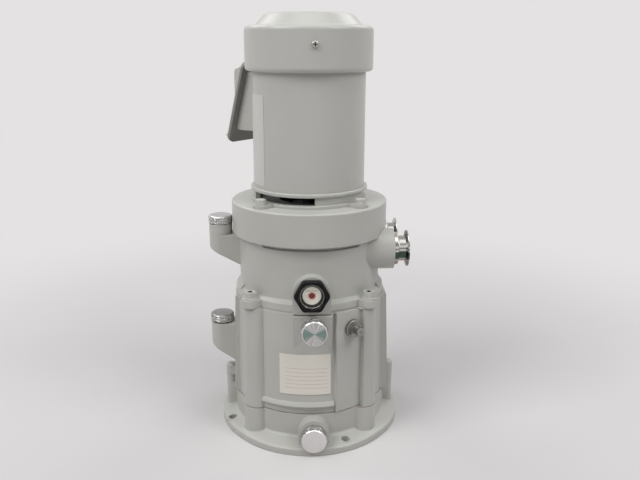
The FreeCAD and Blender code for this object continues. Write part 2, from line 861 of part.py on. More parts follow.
def elbow_solids(name, reach, top, web_drop, wall):
    """A filler elbow on the left side: a round neck on a web that slopes in to the casing."""
    knee = top - s.elbow_knee_drop
    foot = top - s.elbow_foot_drop
    neck = cylinder(f"{name}_neck", s.elbow_radius, s.elbow_knee_drop, -reach, 0.0, knee)
    left = -reach - s.elbow_radius
    inner = -wall + 8.0
    side = padded(f"{name}_side", [
        (left, knee, 7.0),
        (-wall, foot),
        (inner, foot),
        (inner, top - web_drop),
        (left, top - web_drop),
    ], s.elbow_radius * 2, "XZ_Plane", both=True)
    plan = fuse(f"{name}_plan", [
        cylinder(f"{name}_round", s.elbow_radius, s.elbow_foot_drop, -reach, 0.0, foot),
        box(f"{name}_straight", reach + inner, s.elbow_radius * 2, s.elbow_foot_drop,
            -reach, -s.elbow_radius, foot),
    ])
    web = common(f"{name}_web", [side, plan])
    if web_drop < s.elbow_knee_drop / 4:
        return [web]
    return [neck, web]


def elbow_bores(name, reach, top, wall):
    """The filling hole: down through the neck, then in to the casing."""
    level = top - s.elbow_knee_drop + s.elbow_floor
    return [
        cylinder(f"{name}_bore", s.elbow_bore, top - level + 1.0, -reach, 0.0, level),
        cylinder(f"{name}_inlet", s.elbow_bore, reach - wall + 14.0, -reach, 0.0, level, "X"),
    ]


def side_pad(name, width, inset):
    """A block through the casing whose ends are the drafted pads at its two sides."""
    top = s.side_pad_reach - inset
    foot = top + s.side_pad_draft
    return padded(name, [
        (-foot + s.side_pad_inset, LOWER_FOOT),
        (foot, LOWER_FOOT),
        (top, LOWER_TOP),
        (-top + s.side_pad_inset, LOWER_TOP),
    ], width, "XZ_Plane", both=True)


def make_lower_casing():
    """The oil casing: a tall round casting with its columns, filler elbow and port bosses."""
    solids = [
        revolved("lower_outer", [
            (0, LOWER_FOOT), (s.lower_foot_radius, LOWER_FOOT),
            (s.lower_top_radius, LOWER_TOP), (0, LOWER_TOP)]),
        side_pad("side_pad", s.side_pad_width, 0.0),
        side_pad("side_pad_step", s.side_pad_width + 12.0, 3.0),
    ]
    for azimuth in casing_azimuths():
        x, y = around(s.column_reach, azimuth)
        solids.append(cone("lower_column", s.column_radius + s.column_draft, s.column_radius,
                           s.lower_height, x, y, LOWER_FOOT))
    pillar = s.pillar_radius + 0.3
    for azimuth in pillar_azimuths():
        x, y = around(s.pillar_reach, azimuth)
        solids.append(revolved("lower_foot", [
            (0, 0), (pillar, 0), (pillar, s.lower_lug_height, 3.0), (0, s.lower_lug_height)],
            x=x, y=y, z=PILLAR_TOP))
        solids.append(arm("lower_foot_web", s.pillar_reach, pillar * 2,
                          s.lower_lug_height - 3.0, PILLAR_TOP, azimuth, s.lower_bore + 3.0))
    solids.append(cone("lower_rib", s.lower_foot_radius + s.rib_thickness,
                       s.lower_foot_radius + s.rib_thickness / 3, s.rib_height,
                       z=LOWER_FOOT + s.rib_rise, turn=outward(s.rib_azimuth),
                       sweep=s.rib_sweep))
    pad_foot = LOWER_TOP - s.pad_drop
    solids.append(padded("front_pad", [
        (-s.ledge_bore, pad_foot),
        (-(s.pad_reach - s.pad_fade), pad_foot),
        (-s.pad_reach, LOWER_TOP, 1.2),
        (-s.ledge_bore, LOWER_TOP),
    ], s.pad_width, "YZ_Plane", x=s.pad_offset, both=True))
    port_start = s.lower_bore - 5.0
    solids.append(cylinder("front_port", s.port_neck_radius, s.port_neck_reach - port_start,
                           s.front_port_offset, -port_start, FRONT_PORT_LEVEL, "-Y"))
    x, y = around(port_start, s.plug_azimuth)
    plug_axis = outward(s.plug_azimuth).multiply(TURNS["X"])
    solids.append(arm("plug_panel", s.plug_reach, s.plug_panel_width, s.lower_height,
                      LOWER_FOOT, s.plug_azimuth, s.lower_bore + 2.0))
    solids.extend(elbow_solids("lower_elbow", s.lower_elbow_reach, LOWER_ELBOW_TOP,
                               s.lower_elbow_web_drop, s.lower_foot_radius))
    whole = fuse("lower_solid", solids)
    ledge = s.ledge_depth
    recess = s.frame_radius + s.hole_gap / 2
    tools = [
        revolved("lower_cavity", [
            (0, LOWER_FOOT - 1.0),
            (s.lower_bore, LOWER_FOOT - 1.0),
            (s.lower_bore, FRAME_FOOT - ledge),
            (s.ledge_bore, FRAME_FOOT - ledge * 0.6),
            (s.ledge_bore, FRAME_FOOT),
            (recess, FRAME_FOOT),
            (recess, LOWER_TOP + 1.0),
            (0, LOWER_TOP + 1.0),
        ]),
        cylinder("front_port_bore", s.elbow_bore, s.port_neck_reach - s.ledge_bore + 10.0,
                 s.front_port_offset, -(s.ledge_bore - 4.0), FRONT_PORT_LEVEL, "-Y"),
        cylinder("plug_hole", s.plug_bore, s.plug_reach, x, y, PLUG_LEVEL, plug_axis),
        arm("plug_clearance", s.plug_reach * 2, s.plug_collar_radius * 2 + 3.0,
            s.lower_height + 2.0, LOWER_FOOT - 1.0, s.plug_azimuth, s.plug_reach),
    ]
    for azimuth in casing_azimuths():
        x, y = around(s.casing_bolt_reach, azimuth)
        tools.append(cylinder("lower_bolt_hole", 3.1, s.casing_bolt_depth + 2.0, x, y,
                              LOWER_TOP - s.casing_bolt_depth - 1.0))
    for azimuth in pillar_azimuths():
        x, y = around(s.pillar_reach, azimuth)
        tools.append(cylinder("lower_pillar_relief", s.pillar_radius + 0.6, PILLAR_TOP
                              - LOWER_FOOT + 1.0, x, y, LOWER_FOOT - 1.0))
        tools.append(cylinder("lower_foot_hole", s.pillar_bolt_radius + 0.1,
                              s.pillar_bolt_grip + 1.5, x, y, PILLAR_TOP - 1.0))
    tools.extend(elbow_bores("lower_elbow", s.lower_elbow_reach, LOWER_ELBOW_TOP, s.lower_bore))
    keep(cut("lower_casing", whole, tools), "lower_casing")


def make_casing_gasket():
    """The flat seal between the two casings, with an ear at each bolt."""
    solids = [cylinder("casing_gasket_disc", s.lip_radius, s.gasket, z=LOWER_TOP)]
    holes = [cylinder("casing_gasket_hole", s.frame_radius + s.hole_gap, s.gasket, z=LOWER_TOP)]
    for azimuth in casing_azimuths():
        x, y = around(s.column_reach, azimuth)
        solids.append(cylinder("casing_gasket_ear", s.column_radius, s.gasket, x, y,
                               LOWER_TOP))
        x, y = around(s.casing_bolt_reach, azimuth)
        holes.append(cylinder("casing_gasket_bolt", 3.1, s.gasket, x, y, LOWER_TOP))
    keep(cut("casing_gasket", fuse("casing_gasket_solid", solids), holes), "casing_gasket")


def make_upper_casing():
    """The upper casing: sight glass boss, two port bosses, filler elbow and bolt lugs."""
    flange_top = UPPER_FOOT + s.lip_height
    outer = revolved("upper_outer", [
        (0, UPPER_FOOT),
        (s.lip_radius, UPPER_FOOT),
        (s.lip_radius, flange_top, 0.8),
        (s.upper_radius, flange_top + s.lip_slope, 2.0),
        (s.upper_radius, ADAPTER_FOOT),
        (0, ADAPTER_FOOT),
    ])
    solids = [outer]
    for azimuth in casing_azimuths():
        x, y = around(s.casing_bolt_reach, azimuth)
        solids.append(cylinder("upper_lug", s.casing_lug_radius, s.casing_lug_rise, x, y,
                               UPPER_FOOT))
        solids.append(arm("upper_lug_web", s.casing_bolt_reach, s.casing_lug_radius * 2,
                          s.casing_lug_rise, UPPER_FOOT, azimuth, s.upper_bore + 3.0))
    for side in (-90.0, 90.0):
        solids.append(cone("upper_flare", s.lip_radius, s.upper_radius - 0.3,
                           s.flare_height, z=flange_top,
                           turn=outward(side - s.flare_sweep / 2), sweep=s.flare_sweep))
    start = s.upper_bore - 8.0
    length = s.sight_boss_reach - start
    arch = cylinder("sight_boss", s.sight_boss_radius, length, 0.0, -start, SIGHT_LEVEL, "-Y")
    solids.append(cut("sight_boss_trimmed", arch, [
        box("sight_boss_below", s.sight_boss_radius * 4, s.sight_boss_reach,
            s.sight_boss_radius, -(s.sight_boss_radius * 2), -s.sight_boss_reach - 5.0,
            UPPER_FOOT - s.sight_boss_radius)]))
    solids.append(box("sight_boss_foot", s.sight_boss_radius * 2, length, s.sight_rise,
                      -s.sight_boss_radius, -s.sight_boss_reach, UPPER_FOOT))
    for reach, side in port_reaches():
        solids.append(cylinder("port_boss", s.port_boss_radius, reach - 60.0, 60.0,
                               s.port_offset * side, PORT_LEVEL, "X"))
    solids.extend(elbow_solids("upper_elbow", s.elbow_reach, UPPER_ELBOW_TOP,
                               s.elbow_web_drop, s.upper_radius))
    whole = fuse("upper_solid", solids)
    hollow = cut("upper_hollow", whole, [
        cylinder("upper_cavity", s.upper_bore, s.upper_height + 30.0, z=UPPER_FOOT - 1.0)])
    lugs = [hollow]
    for azimuth in BRACKET_AZIMUTHS:
        x, y = around(s.bracket_bolt_reach, azimuth)
        lugs.append(common("upper_inner_lug", [
            cylinder("inner_lug_round", s.bracket_column_radius, 20.0, x, y,
                     ADAPTER_FOOT - 20.0),
            cylinder("inner_lug_limit", s.upper_radius - 0.5, 20.0, z=ADAPTER_FOOT - 20.0)]))
    tools = [
        cut("upper_recess", cylinder("recess_outer", s.upper_radius + 1.0, s.recess_height,
                                     z=ADAPTER_FOOT - s.recess_height,
                                     turn=outward(-s.recess_half_sweep),
                                     sweep=s.recess_half_sweep * 2),
            [cylinder("recess_inner", s.upper_radius - s.recess_depth, s.recess_height,
                      z=ADAPTER_FOOT - s.recess_height)]),
        cylinder("sight_bore", s.sight_bore, s.sight_boss_reach, 0.0, -(s.upper_bore - 12.0),
                 SIGHT_LEVEL, "-Y"),
    ]
    for reach, side in port_reaches():
        tools.append(cylinder("port_spigot_bore", s.port_spigot_radius + 0.05,
                              reach - 55.0, 55.0, s.port_offset * side, PORT_LEVEL, "X"))
    for azimuth in casing_azimuths():
        x, y = around(s.casing_bolt_reach, azimuth)
        tools.append(cylinder("upper_lug_hole", 3.3, s.upper_height / 2, x, y,
                              UPPER_FOOT - 1.0))
        tools.append(cylinder("lug_spotface", s.spotface_radius, s.upper_height / 4, x, y,
                              UPPER_FOOT + s.casing_lug_rise))
    for azimuth in BRACKET_AZIMUTHS:
        x, y = around(s.bracket_bolt_reach, azimuth)
        tools.append(cylinder("upper_column_hole", 3.1, 17.0, x, y, ADAPTER_FOOT - 16.0))
    tools.extend(elbow_bores("upper_elbow", s.elbow_reach, UPPER_ELBOW_TOP, s.upper_bore))
    keep(cut("upper_casing", fuse("upper_lugged", lugs), tools), "upper_casing")


def port_reaches():
    """How far out each gas port's boss stands, and the side that it is on."""
    return ((s.port_boss_reach, -1), (s.port_boss_reach - s.exhaust_setback, 1))


def make_casing_bolts():
    """The socket screws with washers that join the two casings."""
    screws = []
    for azimuth in casing_azimuths():
        x, y = around(s.casing_bolt_reach, azimuth)
        screws.append(screw("casing_bolt", 5.8, 6.2, 2.95,
                            s.casing_lug_rise + s.gasket + s.casing_bolt_depth, x, y,
                            UPPER_FOOT + s.casing_lug_rise, socket=5.0, washer=8.5))
    keep(group("casing_bolts", screws), "casing_bolts")


def make_motor_adapter():
    """The thick ring that closes the upper casing and carries the crank bearing."""
    ring = revolved("adapter_ring", [
        (s.adapter_skirt_bore, ADAPTER_FOOT),
        (s.adapter_radius, ADAPTER_FOOT),
        (s.adapter_radius, ADAPTER_TOP, 2.0),
        (s.adapter_well_radius, ADAPTER_TOP),
        (s.adapter_well_radius, WELL_FLOOR),
        (s.shaft_seal_radius, WELL_FLOOR),
        (s.shaft_seal_radius, SEAL_FOOT),
        (s.crank_shoulder_radius, SEAL_FOOT),
        (s.crank_shoulder_radius, CRANK_BEARING_TOP),
        (s.crank_bearing_radius, CRANK_BEARING_TOP),
        (s.crank_bearing_radius, ADAPTER_HUB_FOOT),
        (s.adapter_hub_radius, ADAPTER_HUB_FOOT),
        (s.adapter_hub_radius, ADAPTER_TOP - s.adapter_plate, 3.0),
        (s.adapter_skirt_bore, ADAPTER_TOP - s.adapter_plate, 3.0),
    ])
    solids = [ring]
    for azimuth in BRACKET_AZIMUTHS:
        x, y = around(s.bracket_bolt_reach, azimuth)
        solids.append(cylinder("adapter_column", s.bracket_column_radius,
                               s.adapter_height - 2.0, x, y, ADAPTER_FOOT))
    tools = []
    for azimuth in BRACKET_AZIMUTHS:
        x, y = around(s.bracket_bolt_reach, azimuth)
        tools.append(cylinder("adapter_hole", 3.3, s.adapter_height + 2.0, x, y,
                              ADAPTER_FOOT - 1.0))
    for side in (-1, 1):
        tools.append(cylinder("port_notch", s.port_boss_radius + s.notch_gap,
                              s.adapter_radius / 2, s.adapter_skirt_bore - 20.0,
                              s.port_offset * side, PORT_LEVEL, "X"))
    keep(cut("motor_adapter", fuse("adapter_solid", solids), tools), "motor_adapter")


def make_motor_bracket():
    """The motor's lower end bracket: a windowed ring on four ears with the lower bearing seat."""
    ring = revolved("bracket_ring", [
        (BRACKET_BORE, ADAPTER_TOP),
        (BRACKET_RADIUS, ADAPTER_TOP),
        (BRACKET_RADIUS, ADAPTER_TOP + s.bracket_foot, 1.0),
        (BRACKET_RADIUS - s.bracket_waist, ADAPTER_TOP + s.bracket_foot),
        (BRACKET_RADIUS - s.bracket_waist, SHELL_FOOT - s.bracket_rim),
        (BRACKET_RADIUS, SHELL_FOOT - s.bracket_rim, 0.8),
        (BRACKET_RADIUS, SHELL_FOOT, 1.2),
        (s.shell_radius - s.shell_wall - s.spigot_gap, SHELL_FOOT),
        (s.shell_radius - s.shell_wall - s.spigot_gap, SHELL_FOOT + s.spigot_depth),
        (s.motor_hub_radius, SHELL_FOOT + s.spigot_depth, 3.0),
        (s.motor_hub_radius, LOWER_BEARING_TOP + 1.0),
        (s.motor_bearing_radius, LOWER_BEARING_TOP + 1.0),
        (s.motor_bearing_radius, LOWER_BEARING_FOOT),
        (s.motor_shaft_radius + 3.0, LOWER_BEARING_FOOT),
        (s.motor_shaft_radius + 3.0, MOTOR_PLATE_FOOT),
        (BRACKET_BORE, MOTOR_PLATE_FOOT, 1.0),
    ])
    solids = [ring]
    for azimuth in BRACKET_AZIMUTHS:
        x, y = around(s.bracket_bolt_reach, azimuth)
        solids.append(cylinder("bracket_ear", s.bracket_ear_radius, s.bracket_foot, x, y,
                               ADAPTER_TOP))
        solids.append(arm("bracket_ear_web", s.bracket_bolt_reach, s.bracket_ear_radius * 2,
                          s.bracket_foot, ADAPTER_TOP, azimuth, BRACKET_BORE + 5.0))
    tools = []
    for azimuth in (s.window_azimuth, s.window_side_azimuth, s.window_back_azimuth):
        tools.append(cylinder("window", BRACKET_RADIUS + 5.0, s.window_height,
                              z=ADAPTER_TOP + s.bracket_foot, turn=outward(azimuth),
                              sweep=s.window_sweep))
    for azimuth in BRACKET_AZIMUTHS:
        x, y = around(s.bracket_bolt_reach, azimuth)
        tools.append(cylinder("bracket_hole", 3.3, s.bracket_foot + 2.0, x, y,
                              ADAPTER_TOP - 1.0))
    keep(cut("motor_bracket", fuse("bracket_solid", solids), tools), "motor_bracket")


def make_bracket_bolts():
    """The long hex bolts that clamp bracket and adapter to the upper casing."""
    bolts = []
    for azimuth in BRACKET_AZIMUTHS:
        x, y = around(s.bracket_bolt_reach, azimuth)
        bolts.append(screw("bracket_bolt", 5.0, 4.0, 2.95, s.bracket_bolt_depth, x, y,
                           ADAPTER_TOP + s.bracket_foot, washer=6.2, flats=10.0))
    keep(group("bracket_bolts", bolts), "bracket_bolts")


def make_sight_glass():
    """The oil level glass: bezel, lens and the white disc behind it."""
    face = -s.sight_boss_reach
    rim = s.bezel_face_radius
    turned = revolved("bezel_turned", [
        (s.bezel_opening, 0),
        (s.bezel_flats * 0.6, 0),
        (s.bezel_flats * 0.6, s.bezel_depth - 1.7),
        (rim, s.bezel_depth),
        (rim - 2.6, s.bezel_depth),
        (rim - 3.0, s.bezel_depth - 1.0),
        (rim - 3.8, s.bezel_depth - 1.0),
        (rim - 4.2, s.bezel_depth),
        (s.bezel_opening, s.bezel_depth - 1.2),
    ], y=face, z=SIGHT_LEVEL, turn="-Y")
    flats = hexagon("bezel_hex", s.bezel_flats, s.bezel_depth, 0.0, face, SIGHT_LEVEL, "-Y")
    keep(common("sight_glass_bezel", [turned, flats]), "sight_glass_bezel")
    keep(revolved("sight_glass_lens", [
        (0, 0),
        (s.bezel_opening - 0.1, 0),
        (s.bezel_opening - 0.1, s.lens_thickness - 1.0),
        (0, s.lens_thickness - 0.5),
    ], y=face, z=SIGHT_LEVEL, turn="-Y"), "sight_glass_lens")
    keep(revolved("sight_glass_disc", [
        (0, -s.sight_disc_thickness),
        (s.sight_bore - 0.2, -s.sight_disc_thickness),
        (s.sight_bore - 0.2, -0.3),
        (s.sight_disc_radius, -0.1),
        (0, -0.1),
    ], y=face, z=SIGHT_LEVEL, turn="-Y"), "sight_glass_disc")


def make_plug():
    """The hex plug at the right of the front, with its round collar and nose."""
    axis = outward(s.plug_azimuth).multiply(TURNS["X"])
    x, y = around(s.plug_reach, s.plug_azimuth)
    hex_top = s.plug_collar + s.plug_hex
    turned = revolved("plug_turned", [
        (0, -10.0),
        (s.plug_bore - 0.1, -10.0),
        (s.plug_bore - 0.1, 0.05),
        (s.plug_collar_radius, 0.05),
        (s.plug_collar_radius, s.plug_collar, 0.8),
        (s.plug_nose_radius, s.plug_collar),
        (s.plug_nose_radius, hex_top + s.plug_nose, 0.8),
        (0, hex_top + s.plug_nose),
    ], x=x, y=y, z=PLUG_LEVEL, turn=axis)
    x, y = around(s.plug_reach + s.plug_collar - 0.5, s.plug_azimuth)
    keep(fuse("hex_plug", [turned, hexagon("plug_flats", s.plug_flats, s.plug_hex + 0.5, x, y,
                                           PLUG_LEVEL, axis)]), "hex_plug")


def make_rating_plate():
    """The bare plate on the front of the oil casing, curved to it."""
    foot = LOWER_FOOT + s.rating_plate_rise
    top = foot + s.rating_plate_height
    seat = 0.05
    out = seat + s.rating_plate_thickness
    ring = revolved("plate_ring", [
        (lower_radius(foot) + seat, foot),
        (lower_radius(foot) + out, foot),
        (lower_radius(top) + out, top),
        (lower_radius(top) + seat, top),
    ])
    window = arm("plate_window", s.lower_foot_radius * 1.2, s.rating_plate_width,
                 s.rating_plate_height + 2.0, foot - 1.0, s.rating_plate_azimuth,
                 s.lower_bore / 2)
    keep(common("rating_plate", [ring, window]), "rating_plate")


def make_cap(name, radius, height, x, y, z, turn):
    """A screw cap on its spigot, and the sealing ring under its rim."""
    lift = s.cap_lift
    seat = s.seal_section * 2 + s.seal_gap * 2 - lift
    groove_in = s.seal_radius - s.seal_section - s.seal_gap
    groove_out = s.seal_radius + s.seal_section + s.seal_gap
    keep(revolved(f"{name}_cap", [
        (0, -s.cap_spigot),
        (s.elbow_bore - s.cap_thread_gap, -s.cap_spigot),
        (s.elbow_bore - s.cap_thread_gap, lift),
        (groove_in, lift),
        (groove_in, lift + seat),
        (groove_out, lift + seat),
        (groove_out, lift),
        (radius, lift),
        (radius, lift + height, 1.2),
        (0, lift + height),
    ], x=x, y=y, z=z, turn=turn), f"{name}_cap")
    out = TURNS[turn].multVec(FreeCAD.Vector(0, 0, 1))
    rise = s.seal_section + s.seal_gap
    keep(torus(f"{name}_seal", s.seal_radius, s.seal_section,
               *(c + rise * u if abs(u) > 1e-9 else c for c, u in zip((x, y, z), out)),
               turn=turn), f"{name}_seal")


def make_caps():
    """The four screw caps: two fillers, the front port and the drain."""
    make_cap("upper_filler", s.filler_cap_radius, s.filler_cap_height, -s.elbow_reach, 0.0,
             UPPER_ELBOW_TOP, "Z")
    make_cap("lower_filler", s.filler_cap_radius, s.filler_cap_height, -s.lower_elbow_reach,
             0.0, LOWER_ELBOW_TOP, "Z")
    make_cap("front_port", s.cap_radius, s.cap_height, s.front_port_offset,
             -s.port_neck_reach, FRONT_PORT_LEVEL, "-Y")
    make_cap("drain", s.cap_radius, s.cap_height, s.drain_offset, -s.drain_boss_reach,
             DRAIN_LEVEL, "-Y")


def make_ports():
    """The two gas ports, each a nipple with a small clamp flange."""
    for name, (reach, side) in zip(("intake_port", "exhaust_port"), port_reaches()):
        collar = s.port_collar_length
        neck = collar + s.port_neck_length
        rim = neck + s.clamp_flange_taper
        face = rim + s.clamp_flange_rim
        keep(revolved(name, [
            (s.port_bore, -s.port_spigot_depth),
            (s.port_spigot_radius, -s.port_spigot_depth),
            (s.port_spigot_radius, 0),
            (s.port_collar_radius, 0),
            (s.port_collar_radius, collar, 1.0),
            (s.port_neck, collar, 1.0),
            (s.port_neck, neck),
            (s.clamp_flange_radius, rim),
            (s.clamp_flange_radius, face, 0.3),
            (s.centring_radius, face),
            (s.centring_radius, face - s.centring_depth),
            (s.port_bore, face - s.centring_depth),
        ], x=reach, y=s.port_offset * side, z=PORT_LEVEL, turn="X"), name)


def make_intake_pipe():
    """The pipe inside the casing that leads the gas from the intake port to the scrolls."""
    bend = float(s.intake_pipe_bend)
    x = float(s.intake_pipe_x)
    y = -float(s.port_offset)
    z = float(PORT_LEVEL)
    end = float(s.port_boss_reach - s.port_spigot_depth) - 0.3
    foot = float(FRAME_TOP) + 0.05
    corner = bend * (1.0 - math.sqrt(0.5))
    run = Part.LineSegment(FreeCAD.Vector(end, y, z), FreeCAD.Vector(x + bend, y, z))
    turn = Part.Arc(FreeCAD.Vector(x + bend, y, z),
                    FreeCAD.Vector(x + corner, y, z - corner),
                    FreeCAD.Vector(x, y, z - bend))
    drop = Part.LineSegment(FreeCAD.Vector(x, y, z - bend), FreeCAD.Vector(x, y, foot))
    path = Part.Wire([run.toShape(), turn.toShape(), drop.toShape()])

    def tube(radius):
        """One round solid along the pipe's path."""
        circle = Part.Circle(FreeCAD.Vector(end, y, z), FreeCAD.Vector(1, 0, 0), radius)
        return path.makePipeShell([Part.Wire([circle.toShape()])], True, False)

    radius = float(s.intake_pipe_radius)
    pipe = doc.addObject("Part::Feature", "intake_pipe")
    pipe.Shape = tube(radius).cut(tube(radius - float(s.intake_pipe_wall)))
    keep(pipe, "intake_pipe")


def make_pump_frame():
    """The frame between the casings: it holds the fixed scroll and the pin cranks."""
    disc = revolved("frame_disc", [
        (s.frame_opening, FRAME_FOOT),
        (s.frame_radius, FRAME_FOOT),
        (s.frame_radius, UPPER_FOOT),
        (s.frame_plate_radius, UPPER_FOOT),
        (s.frame_plate_radius, FRAME_TOP, 1.5),
        (s.frame_opening, FRAME_TOP),
    ])
    tools = []
    for index in range(int(s.vent_count)):
        x, y = around(s.vent_reach, 22.5 + index * 360.0 / s.vent_count)
        tools.append(cylinder("frame_vent", s.vent_radius, s.frame_plate + 4.0, x, y,
                              FRAME_FOOT - 2.0))
    for x, y in pin_crank_places():
        tools.append(cylinder("frame_pocket", s.pin_crank_web_radius + 0.5,
                              s.pin_crank_web + 1.7, x, y, FRAME_FOOT - 1.0))
        tools.append(cylinder("frame_crank_bore", s.pin_crank_radius + s.running_gap,
                              s.frame_plate + 2.0, x, y, FRAME_FOOT - 1.0))
    for x, y in scroll_bolt_places():
        tools.append(cylinder("frame_bolt_hole", s.scroll_bolt_radius + 0.15, 9.0, x, y,
                              FRAME_FOOT - 1.0))
    tools.append(cylinder("frame_intake", s.intake_pipe_radius - s.intake_pipe_wall,
                          s.frame_plate + 4.0, s.intake_pipe_x, -s.port_offset,
                          FRAME_FOOT - 2.0))
    keep(cut("pump_frame", disc, tools), "pump_frame")


def pin_crank_places():
    """The fixed axes of the three pin cranks."""
    return [around(s.pin_crank_reach, azimuth) for azimuth in (30.0, 150.0, 270.0)]


def scroll_bolt_places():
    """The six screws round the fixed scroll's wall."""
    return [around(s.scroll_bolt_reach, 60.0 * index) for index in range(6)]


def wrap_shape(centre_x, base, mirrored):
    """A scroll wrap: half circles about two centres, each half a pitch larger than the last."""
    quarter = float(s.wrap_pitch) / 4
    wall = float(s.wrap_wall) / 2
    start = float(s.wrap_start)
    turns = int(s.wrap_half_turns)
    up = FreeCAD.Vector(0, 0, 1)
    side = -1.0 if mirrored else 1.0

    def half_circle(index, radius):
        """One half circle, over the top on even turns and below on odd ones."""
        over = index % 2 == 0
        centre = FreeCAD.Vector((-quarter if over else quarter) * side, 0, 0)
        sense = (1.0 if over else -1.0) * side
        return Part.Arc(centre + FreeCAD.Vector(radius * sense, 0, 0),
                        centre + FreeCAD.Vector(0, radius * sense, 0),
                        centre - FreeCAD.Vector(radius * sense, 0, 0))

    radii = [start + index * quarter * 2 for index in range(turns)]
    outer = [half_circle(index, radius + wall) for index, radius in enumerate(radii)]
    inner = [half_circle(index, radius - wall) for index, radius in enumerate(radii)]
    edges = [arc.toShape() for arc in outer + inner]
    edges.append(Part.LineSegment(outer[0].StartPoint, inner[0].StartPoint).toShape())
    edges.append(Part.LineSegment(outer[-1].EndPoint, inner[-1].EndPoint).toShape())
    wire = Part.Wire(Part.__sortEdges__(edges))
    wrap = Part.Face(wire).extrude(up * float(s.wrap_height))
    wrap.translate(FreeCAD.Vector(centre_x, 0, base))
    return wrap


def make_fixed_scroll():
    """The fixed scroll: plate, outer wall and wrap, with the discharge hole at its centre."""
    pan = revolved("fixed_pan", [
        (0, FIXED_FOOT),
        (s.fixed_radius, FIXED_FOOT, 2.0),
        (s.fixed_radius, FRAME_FOOT),
        (s.fixed_pocket, FRAME_FOOT),
        (s.fixed_pocket, FIXED_TOP),
        (0, FIXED_TOP),
    ])
    wrap = doc.addObject("Part::Feature", "fixed_wrap")
    wrap.Shape = wrap_shape(0.0, float(FIXED_TOP), False)
    tools = [cylinder("discharge_hole", s.discharge_radius, s.fixed_plate + 2.0,
                      z=FIXED_FOOT - 1.0)]
    for x, y in scroll_bolt_places():
        tools.append(cylinder("fixed_bolt_hole", s.scroll_bolt_radius + 0.15, 60.0, x, y,
                              FIXED_FOOT - 1.0))
    for x in valve_screw_offsets():
        tools.append(cylinder("valve_hole", 1.6, s.fixed_plate - 1.0, x, 0.0,
                              FIXED_FOOT - 1.0))
    keep(cut("fixed_scroll", fuse("fixed_solid", [pan, wrap]), tools), "fixed_scroll")


def make_scroll_bolts():
    """The screws that hold the fixed scroll under the frame."""
    screws = []
    for x, y in scroll_bolt_places():
        screws.append(screw("scroll_bolt", 3.2, 3.5, s.scroll_bolt_radius,
                            FRAME_FOOT - FIXED_FOOT + 6.5, x, y, FIXED_FOOT, turn="-Z",
                            socket=2.6))
    keep(group("scroll_bolts", screws), "scroll_bolts")


def valve_screw_offsets():
    """Where the discharge valve is screwed to the fixed scroll, beside the hole."""
    return (s.discharge_radius + 11.0, s.discharge_radius + 21.0)


def make_discharge_valve():
    """The reed over the discharge hole, its curved stop and their screws."""
    length = s.discharge_radius + 25.0
    reed = padded("reed_strip", [
        (-8.0, -7.0, 6.9), (length, -7.0, 1.0), (length, 7.0, 1.0), (-8.0, 7.0, 6.9)],
        0.4, z=FIXED_FOOT - 0.4)
    holes = [cylinder("reed_hole", 1.7, 4.0, x, 0.0, FIXED_FOOT - 3.0)
             for x in valve_screw_offsets()]
    keep(cut("discharge_reed", reed, holes), "discharge_reed")
    level = FIXED_FOOT - 0.45
    stop = padded("stop_strip", [
        (length, level),
        (s.discharge_radius + 6.0, level),
        (-8.0, level - 3.5),
        (-8.0, level - 5.5),
        (s.discharge_radius + 6.0, level - 2.0),
        (length, level - 2.0),
    ], 12.0, "XZ_Plane", both=True)
    stop_holes = [cylinder("stop_hole", 1.7, 8.0, x, 0.0, FIXED_FOOT - 6.0)
                  for x in valve_screw_offsets()]
    keep(cut("valve_stop", stop, stop_holes), "valve_stop")
    screws = [screw("valve_screw", 2.8, 2.0, 1.5, 8.5, x, 0.0, level - 2.0, turn="-Z")
              for x in valve_screw_offsets()]
    keep(group("valve_screws", screws), "valve_screws")


def make_orbiting_scroll():
    """The orbiting scroll: plate, downward wrap and the hub that the crank pin drives."""
    plate = revolved("orbit_disc", [
        (0, ORBIT_FOOT),
        (s.orbit_plate_radius, ORBIT_FOOT),
        (s.orbit_plate_radius, ORBIT_TOP, 1.0),
        (s.orbit_hub_radius, ORBIT_TOP, 2.0),
        (s.orbit_hub_radius, HUB_TOP, 0.8),
        (s.drive_bearing_radius, HUB_TOP),
        (s.drive_bearing_radius, ORBIT_TOP),
        (0, ORBIT_TOP),
    ], x=ORBIT_RADIUS)
    wrap = doc.addObject("Part::Feature", "orbit_wrap")
    wrap.Shape = wrap_shape(float(ORBIT_RADIUS), float(ORBIT_FOOT - s.wrap_height), True)
    tools = []
    for x, y in pin_crank_places():
        tools.append(cylinder("orbit_crank_bore", s.pin_crank_radius + s.running_gap,
                              s.pin_crank_depth + 1.3, x + ORBIT_RADIUS, y,
                              ORBIT_TOP - s.pin_crank_depth - 0.3))
    keep(cut("orbiting_scroll", fuse("orbit_solid", [plate, wrap]), tools), "orbiting_scroll")
    keep(revolved("drive_bearing", [
        (s.eccentric_radius + s.running_gap, ORBIT_TOP + 0.5),
        (s.drive_bearing_radius - 0.02, ORBIT_TOP + 0.5),
        (s.drive_bearing_radius - 0.02, HUB_TOP - 0.5),
        (s.eccentric_radius + s.running_gap, HUB_TOP - 0.5),
    ], x=ORBIT_RADIUS), "drive_bearing")


def make_pin_cranks():
    """The three small cranks that keep the orbiting scroll from turning."""
    for number, (x, y) in enumerate(pin_crank_places(), start=1):
        web_foot = FRAME_FOOT + 0.1
        solids = [
            cylinder("pin_web", s.pin_crank_web_radius, s.pin_crank_web, x, y, web_foot),
            cylinder("pin_fixed", s.pin_crank_radius, s.frame_plate - 0.7, x, y, web_foot),
            cylinder("pin_orbit", s.pin_crank_radius, s.pin_crank_depth + s.tip_gap + 0.2,
                     x + ORBIT_RADIUS, y, ORBIT_TOP - s.pin_crank_depth),
        ]
        keep(fuse(f"pin_crank_{number}", solids), f"pin_crank_{number}")


